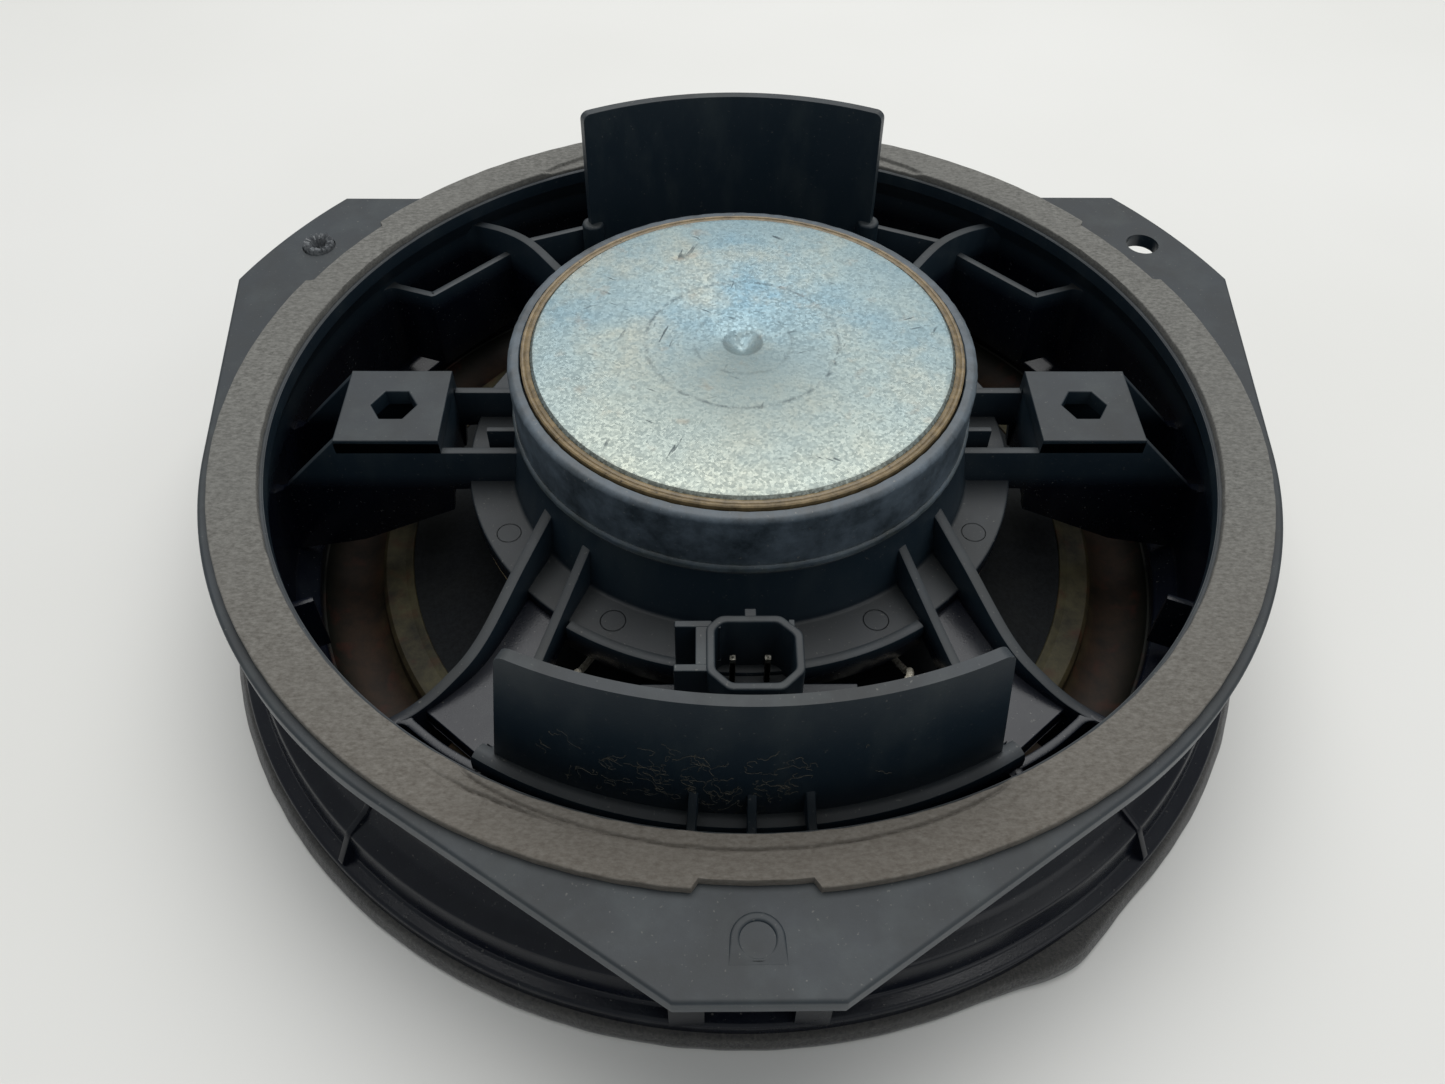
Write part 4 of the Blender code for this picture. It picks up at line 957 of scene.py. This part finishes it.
def motor():
    """The plate and pole, the rubber boot, the adhesive bead and the pieces inside."""
    under = PLATE_TOP - PLATE_THICK
    plate = [
        (0.0, PLATE_TOP - 2.3), (0.9, PLATE_TOP - 2.2), (3.7, PLATE_TOP - 0.15), (4.2, PLATE_TOP),
        (PLATE_R - 0.7, PLATE_TOP), (PLATE_R, PLATE_TOP - 0.7), (PLATE_R, under), (POLE_R, under),
        (POLE_R, PLATE_LOW[2] + 1.0), (POLE_R - 1.0, PLATE_LOW[2]), (0.0, PLATE_LOW[2]),
    ]
    made = lathe("back_plate", plate, ZINC, merge=True, sharp=30)
    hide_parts("yoke")

    shoulder = 1.2
    quarter = np.linspace(0, math.pi / 2, 8)
    side, top = BOOT_R - 0.4, BOOT_TOP + 0.1
    rim = np.column_stack([side - shoulder * (1 - np.cos(quarter)), top - shoulder * (1 - np.sin(quarter))])
    inner = box_mm("ferrite_magnet")[1][0] + 0.3
    outline = [(inner, BOOT_FOOT), (BOOT_R, BOOT_FOOT), (BOOT_R, BOOT_FOOT + 1.3), (side, BOOT_FOOT + 1.9)]
    outline = fillet(outline, [0.2, 0.5, 0.5, 0.5])
    lip = [(43.1, top), (42.95, BOOT_TOP - 0.1), (42.95, BOOT_TOP - 1.4), (inner, BOOT_TOP - 1.8)]
    profile = np.concatenate([outline, rim, lip])

    made = lathe("rubber_boot", profile, RUBBER, segments=480, wobble=wavy(31, 0.03))
    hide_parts("magnet_boot")

    top = PLATE_TOP - 0.35
    section = [
        (40.9, top - 2.2), (42.65, top - 2.2), (42.65, top - 0.2), (42.35, top), (42.0, top - 0.05),
        (41.85, top - 0.22), (41.7, top - 0.05), (41.3, top + 0.05), (40.9, top - 0.1),
    ]
    made = lathe("adhesive_bead", fillet(section, 0.08), ADHESIVE, segments=480, wobble=wavy(41, 0.02))
    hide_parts("plate_bead")

    for node, look in (("ferrite_magnet", FERRITE), ("top_plate", ZINC)):
        dress(node, look)


def dress(node, look):
    """Gives a CAD node a finish and leaves its mesh as it is."""
    mesh = frame["nodes"][node].data
    mesh.materials.clear()
    mesh.materials.append(look)


# ---------------------------------------------------------------- moving parts


def by_radius(obj, held, free):
    """Bakes the piece's transform into its mesh and works out each point's share of the way from
    the held radius in to the free one. Nothing uses that share, so the piece follows neither body."""
    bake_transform(obj)
    points = np.empty(len(obj.data.vertices) * 3)
    obj.data.vertices.foreach_get("co", points)
    points = points.reshape(-1, 3) / MM - AXIS
    share = np.clip((held - np.hypot(points[:, 0], points[:, 1])) / (held - free), 0, 1)


def cone_line(share):
    """Height of the cone's front face: a slightly curved line from the neck to the lip."""
    return CONE_HIGH[2] - 0.9 + (CONE_LOW[2] - CONE_HIGH[2] + 0.9) * share - 1.2 * np.sin(math.pi * share)


def sheet(line, thickness, edge=()):
    """The outline of a sheet this thick above a line, with an edge of its own at its outer end."""
    parts = [line, np.reshape(edge, (-1, 2)), line[::-1] + (0.0, thickness)]
    return np.concatenate(parts)


def diaphragm():
    """The cone, dust cap and coil, and the surround and spider that hold them to the basket."""
    lip_r, lip_z = CONE_HIGH[0], CONE_LOW[2]
    share = np.linspace(0, 1, 40)
    radius = NECK_R + (CONE_LIP_R - NECK_R) * share
    front = np.column_stack([radius, cone_line(share)])
    lip = [(lip_r - 0.3, lip_z), (lip_r, lip_z + 0.35), (lip_r - 0.3, lip_z + 0.7)]
    made = lathe("paper_cone", sheet(front, 0.75, lip), PAPER, DIAPHRAGM, sharp=60)
    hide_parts("cone")

    low, high = box_mm("dust_cap")
    share = np.linspace(0, 1, 24)
    front = np.column_stack([high[0] * share, low[2] + (high[2] - 0.5 - low[2]) * share**2])
    made = lathe("domed_cap", sheet(front, 0.5), PAPER, DIAPHRAGM, merge=True)
    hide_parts("dust_cap")

    land = [
        (72.2, 1.24), (74.0, 0.82), (78.1, 0.76), (78.3, -0.6), (79.6, -2.4), (79.1, 0.4), (78.3, 1.25),
        (74.1, 1.3), (72.5, 1.7),
    ]
    lathe("surround_land", fillet(np.array(land) + (0.0, lip_z), 0.25), ROLL, DIAPHRAGM)
    flat = SURROUND_HIGH[2] - 0.8
    around = np.linspace(0, math.pi, 36)
    roll = np.column_stack([ROLL_MIDDLE_R - 6.6 * np.cos(around), flat - 4.2 * np.sin(around)])
    line = np.concatenate([[(74.4, flat)], roll, [(SURROUND_HIGH[0], flat)]])
    made = lathe("half_roll", sheet(line, 0.8), ROLL, None, sharp=60)
    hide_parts("surround")
    by_radius(made, ROLL_MIDDLE_R + 6.6, ROLL_MIDDLE_R - 6.6)

    share = np.linspace(0, 1, 160)
    radius = SPIDER_FREE_R + (SPIDER_HELD_R - SPIDER_FREE_R) * share
    fade = np.clip(np.minimum(share, 1 - share) * 8, 0, 1)
    top = SPIDER_HIGH[2]
    wave = top - 1.6 + 1.3 * fade * np.sin(share * 6.5 * TAU) + 1.6 * np.clip(share * 6 - 5, 0, 1)
    neck = [(19.8, top - 3.2), (21.4, top - 2.9)]
    line = np.concatenate([neck, np.column_stack([radius, wave - 0.5]), [(SPIDER_HIGH[0], top - 0.5)]])
    made = lathe("cloth_spider", sheet(line, 0.45), CLOTH, None, sharp=60)
    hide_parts("spider")
    by_radius(made, SPIDER_HELD_R, SPIDER_FREE_R)

    dress("coil_former", FILM)
    for node in ("coil_winding", "coil_wire_left", "coil_wire_right"):
        dress(node, COPPER)


# ---------------------------------------------------------------- connector and leads


def socket():
    """The connector: an eight-sided shroud with its floor, side bracket, key tab and inner lip."""
    x0, x1, y0, y1 = SOCKET_LOW[0] + 5.4, SOCKET_HIGH[0], SOCKET_LOW[1], SOCKET_HIGH[1] - 1.6
    cut, small, wall = 3.6, 2.3, 1.5
    centre = np.array([(x0 + x1) / 2, (y0 + y1) / 2])

    def corners(inset):
        a, b, c, d = x0 + inset, x1 - inset, y0 + inset, y1 - inset
        big, little = cut - 0.6 * inset, small - 0.6 * inset
        return np.array([
            (a + big, c), (b - big, c), (b, c + big), (b, d - big),
            (b - big, d), (a + little, d), (a, d - little), (a, c + big),
        ])

    outer, inner = corners(0.0) - centre, corners(wall) - centre
    extra = np.concatenate([np.arctan2(*points.T[::-1]) for points in (outer, inner)])
    low, top = SOCKET_LOW[2] - 0.3, SOCKET_HIGH[2]
    body = ring_section(
        "connector_shroud", polygon_radius(fillet(outer, 2.2)), polygon_radius(fillet(inner, 1.8)),
        low, top, 0.4, centre, extra,
    )
    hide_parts("connector_socket")
    slab("connector_floor", corners(wall - 0.2), low + 0.5, 36.2, 0.2)
    block("connector_inner_lip", (x0 + 3.4, y0 + 1.2, 36.0), (x1 - 3.4, y0 + 3.2, top - 4.5), 0.5)
    for word, front, back in (("front", -66.6, -65.1), ("back", -57.6, -56.2)):
        block(f"bracket_{word}_arm", (SOCKET_LOW[0], front, low), (x0 + 1.0, back, top - 0.4), 0.25)
    block("bracket_web", (x0 - 1.8, -66.0, low), (x0 + 0.8, -57.0, top - 0.5), 0.2)
    block("key_tab", (-0.6, y1 - 1.0, 40.0), (1.4, y1 + 1.6, top - 0.3), 0.2)
    for number, x in enumerate((-5.2, 7.4)):
        block(f"shroud_tab_{number}", (x - 0.5, y1 - 2.4, 40.0), (x + 0.5, y1 - 0.6, top - 0.5), 0.15)


def pins():
    """The two square pins, drawn to a blunt point."""
    for x, word in zip(PIN_X, ("left", "right")):
        node = f"terminal_pin_{word}"
        top = box_mm(node)[1][2]
        levels = ((0.5, 36.0), (0.5, top - 1.1), (0.22, top))
        square = np.array([(-1, -1), (1, -1), (1, 1), (-1, 1)])
        rings = [np.column_stack([square * half + (x, PIN_Y), np.full(4, z)]) for half, z in levels]
        bevelled(piece(f"{word}_pin_tip", np.concatenate(rings), tube_faces(3, 4), TIN), 0.08)
        dress(node, TIN)


def strand_rings(path, radius, sides=8):
    """Rings of points round a path: each lies in the plane square to the path there."""
    slope = np.gradient(path, axis=0)
    slope /= np.linalg.norm(slope, axis=1, keepdims=True)
    across = np.cross(slope, (0.0, 0.0, 1.0))
    across /= np.maximum(np.linalg.norm(across, axis=1, keepdims=True), 1e-6)
    over = np.cross(across, slope)
    swing = np.linspace(0, TAU, sides, endpoint=False)[None, :, None]
    round_it = np.cos(swing) * across[:, None] + np.sin(swing) * over[:, None]
    return path[:, None] + radius * round_it, across, over


def braided_lead(side, word):
    """A braided lead: strands that wind both ways round its path, each at a distance from it of
    0.5 + 0.08 cos(5 turn) mm, so that they pass over and under each other."""
    top = box_mm(f"tinsel_lead_{word}")[1][2]
    route = mirrored(
        side,
        (26.6, -57.6, top - 0.8), (30.0, -54.8, 28.2), (31.3, -51.4, 26.6), (31.4, -47.6, 21.6),
        (27.5, -39.6, 19.6), (21.0, -31.0, 22.3),
    )
    path = through(route, 200)
    _, across, over = strand_rings(path, 1.0)
    run = np.concatenate([[0], np.cumsum(np.linalg.norm(np.diff(path, axis=0), axis=1))])
    points, faces, count = [], [], 0
    for way in (-1, 1):
        for strand in range(5):
            swing = (way * run / 2.6 + strand / 5) * TAU
            weave = 0.5 + 0.08 * np.cos(swing * 5)
            offset = weave[:, None] * (np.cos(swing)[:, None] * across + np.sin(swing)[:, None] * over)
            rings, _, _ = strand_rings(path + offset, 0.2, 5)
            points.append(rings.reshape(-1, 3))
            faces += [[corner + count for corner in face] for face in tube_faces(*rings.shape[:2])]
            count += rings.shape[0] * rings.shape[1]
    made = piece(f"{word}_braided_lead", np.concatenate(points), faces, BRAID, None)
    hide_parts(f"tinsel_lead_{word}")
    start, end = ((route[k] + AXIS) * MM for k in (0, -1))
    tuple(start)
    tuple(end)
    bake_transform(made)


def fastener_stub():
    """What is left of a grey push fastener in the back left ear's hole: a torn, hollow stump."""
    low, high = box_mm("fastener_stub")
    centre = (low + high)[:2] / 2
    count = 64
    angle = np.linspace(0, TAU, count, endpoint=False)
    torn = high[2] + 0.5 + uneven(angle, 51, 0.35, 5)
    radii = (2.2, 3.5, 3.5, 3.2, 2.0, 1.4, 0.05)
    heights = (low[2] + 0 * angle, low[2] + 0 * angle, torn - 0.5, torn, torn - 0.3, torn - 2.2, torn - 2.6)
    rings = [np.column_stack([centre + turn(r, angle), z]) for r, z in zip(radii, heights)]
    made = piece("torn_fastener", np.concatenate(rings), tube_faces(len(radii), count), GREY_NYLON)
    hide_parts("fastener_stub")


def lint():
    """Loose fibres caught on the front wall's outer face: each is a hair that wanders over the
    wall in angle and height."""
    rng = np.random.default_rng(7)
    points, faces, count = [], [], 0
    for _ in range(110):
        length = rng.uniform(1.5, 7.0)
        steps = 18
        heading = rng.uniform(0, TAU) + np.cumsum(rng.normal(0, 0.6, steps))
        start = np.array([rng.normal(-9.0, 11.0), 40.0 + 20.0 * rng.beta(1.3, 2.4)])
        flat = start + np.cumsum(turn(length / steps, heading), axis=0)
        swing = np.clip(flat[:, 0] / FRONT_WALL_R, -0.5, 0.5) - math.pi / 2
        away = FRONT_WALL_R + WALL / 2 + 0.05 + np.abs(rng.normal(0, 0.06, steps))
        path = np.column_stack([away * np.cos(swing), away * np.sin(swing), flat[:, 1]])
        rings, _, _ = strand_rings(path, rng.uniform(0.014, 0.028), 4)
        points.append(rings.reshape(-1, 3))
        faces += [[corner + count for corner in face] for face in tube_faces(steps, 4)]
        count += steps * 4
    piece("lint_fibres", np.concatenate(points), faces, LINT)


# ---------------------------------------------------------------- stage


def studio():
    """A plain pale floor, a large soft light overhead and behind, and a dim sky."""
    bpy.ops.mesh.primitive_plane_add(size=6.0, location=(0.0, 0.0, 0.0))
    floor = bpy.context.object
    floor.name = "floor"
    made, tree, shader, place = finish("pale_floor", Roughness=0.6)
    colour = layered(tree, "d3d2cd", ("d9d8d4", grain(tree, place, 220.0, 0.3, 0.7)))
    tree.links.new(colour, shader.inputs["Base Color"])
    floor.data.materials.append(made)
    for name, place, size, power in (
        ("overhead_softbox", (0.06, 0.5, 1.25), 1.3, 18.5),
        ("side_softbox", (0.9, -0.7, 0.8), 0.9, 2.2),
    ):
        light = bpy.data.lights.new(name, "AREA")
        light.size, light.energy = size, power
        obj = bpy.data.objects.new(name, light)
        facing = Vector(place).to_track_quat("Z", "Y").to_matrix().to_4x4()
        obj.matrix_world = Matrix.Translation(place) @ facing
        bpy.context.scene.collection.objects.link(obj)
    world = bpy.context.scene.world or bpy.data.worlds.new("sky")
    bpy.context.scene.world = world
    world.use_nodes = True
    background = world.node_tree.nodes["Background"]
    background.inputs["Color"].default_value = linear("e9eef2")
    background.inputs["Strength"].default_value = 0.45
    bpy.context.scene.view_settings.view_transform = "Standard"


def camera():
    """The view from above the front ear, a hand's width from the rim."""
    place = np.array([-7.5, -172.7, 207.6]) + AXIS
    yaw, pitch, roll = np.radians((1.414, 49.705, 0.9785))
    ahead = np.array([math.sin(yaw) * math.cos(pitch), math.cos(yaw) * math.cos(pitch), -math.sin(pitch)])
    right = np.array([math.cos(yaw), -math.sin(yaw), 0.0])
    up = np.cross(right, ahead)
    right, up = right * math.cos(roll) + up * math.sin(roll), up * math.cos(roll) - right * math.sin(roll)
    data = bpy.data.cameras.new("view")
    data.sensor_width, data.lens = 36.0, 28.65
    obj = bpy.data.objects.new("view", data)
    turned = np.eye(4)
    turned[:3, 0], turned[:3, 1], turned[:3, 2], turned[:3, 3] = right, up, -ahead, place * MM
    obj.matrix_world = Matrix(turned.tolist())
    bpy.context.scene.collection.objects.link(obj)
    bpy.context.scene.camera = obj


camera()
studio()
basket()
rear_gasket()
front_gasket()
motor()
diaphragm()
socket()
pins()
for lead_side, lead_word in ((-1, "left"), (1, "right")):
    braided_lead(lead_side, lead_word)
fastener_stub()
lint()
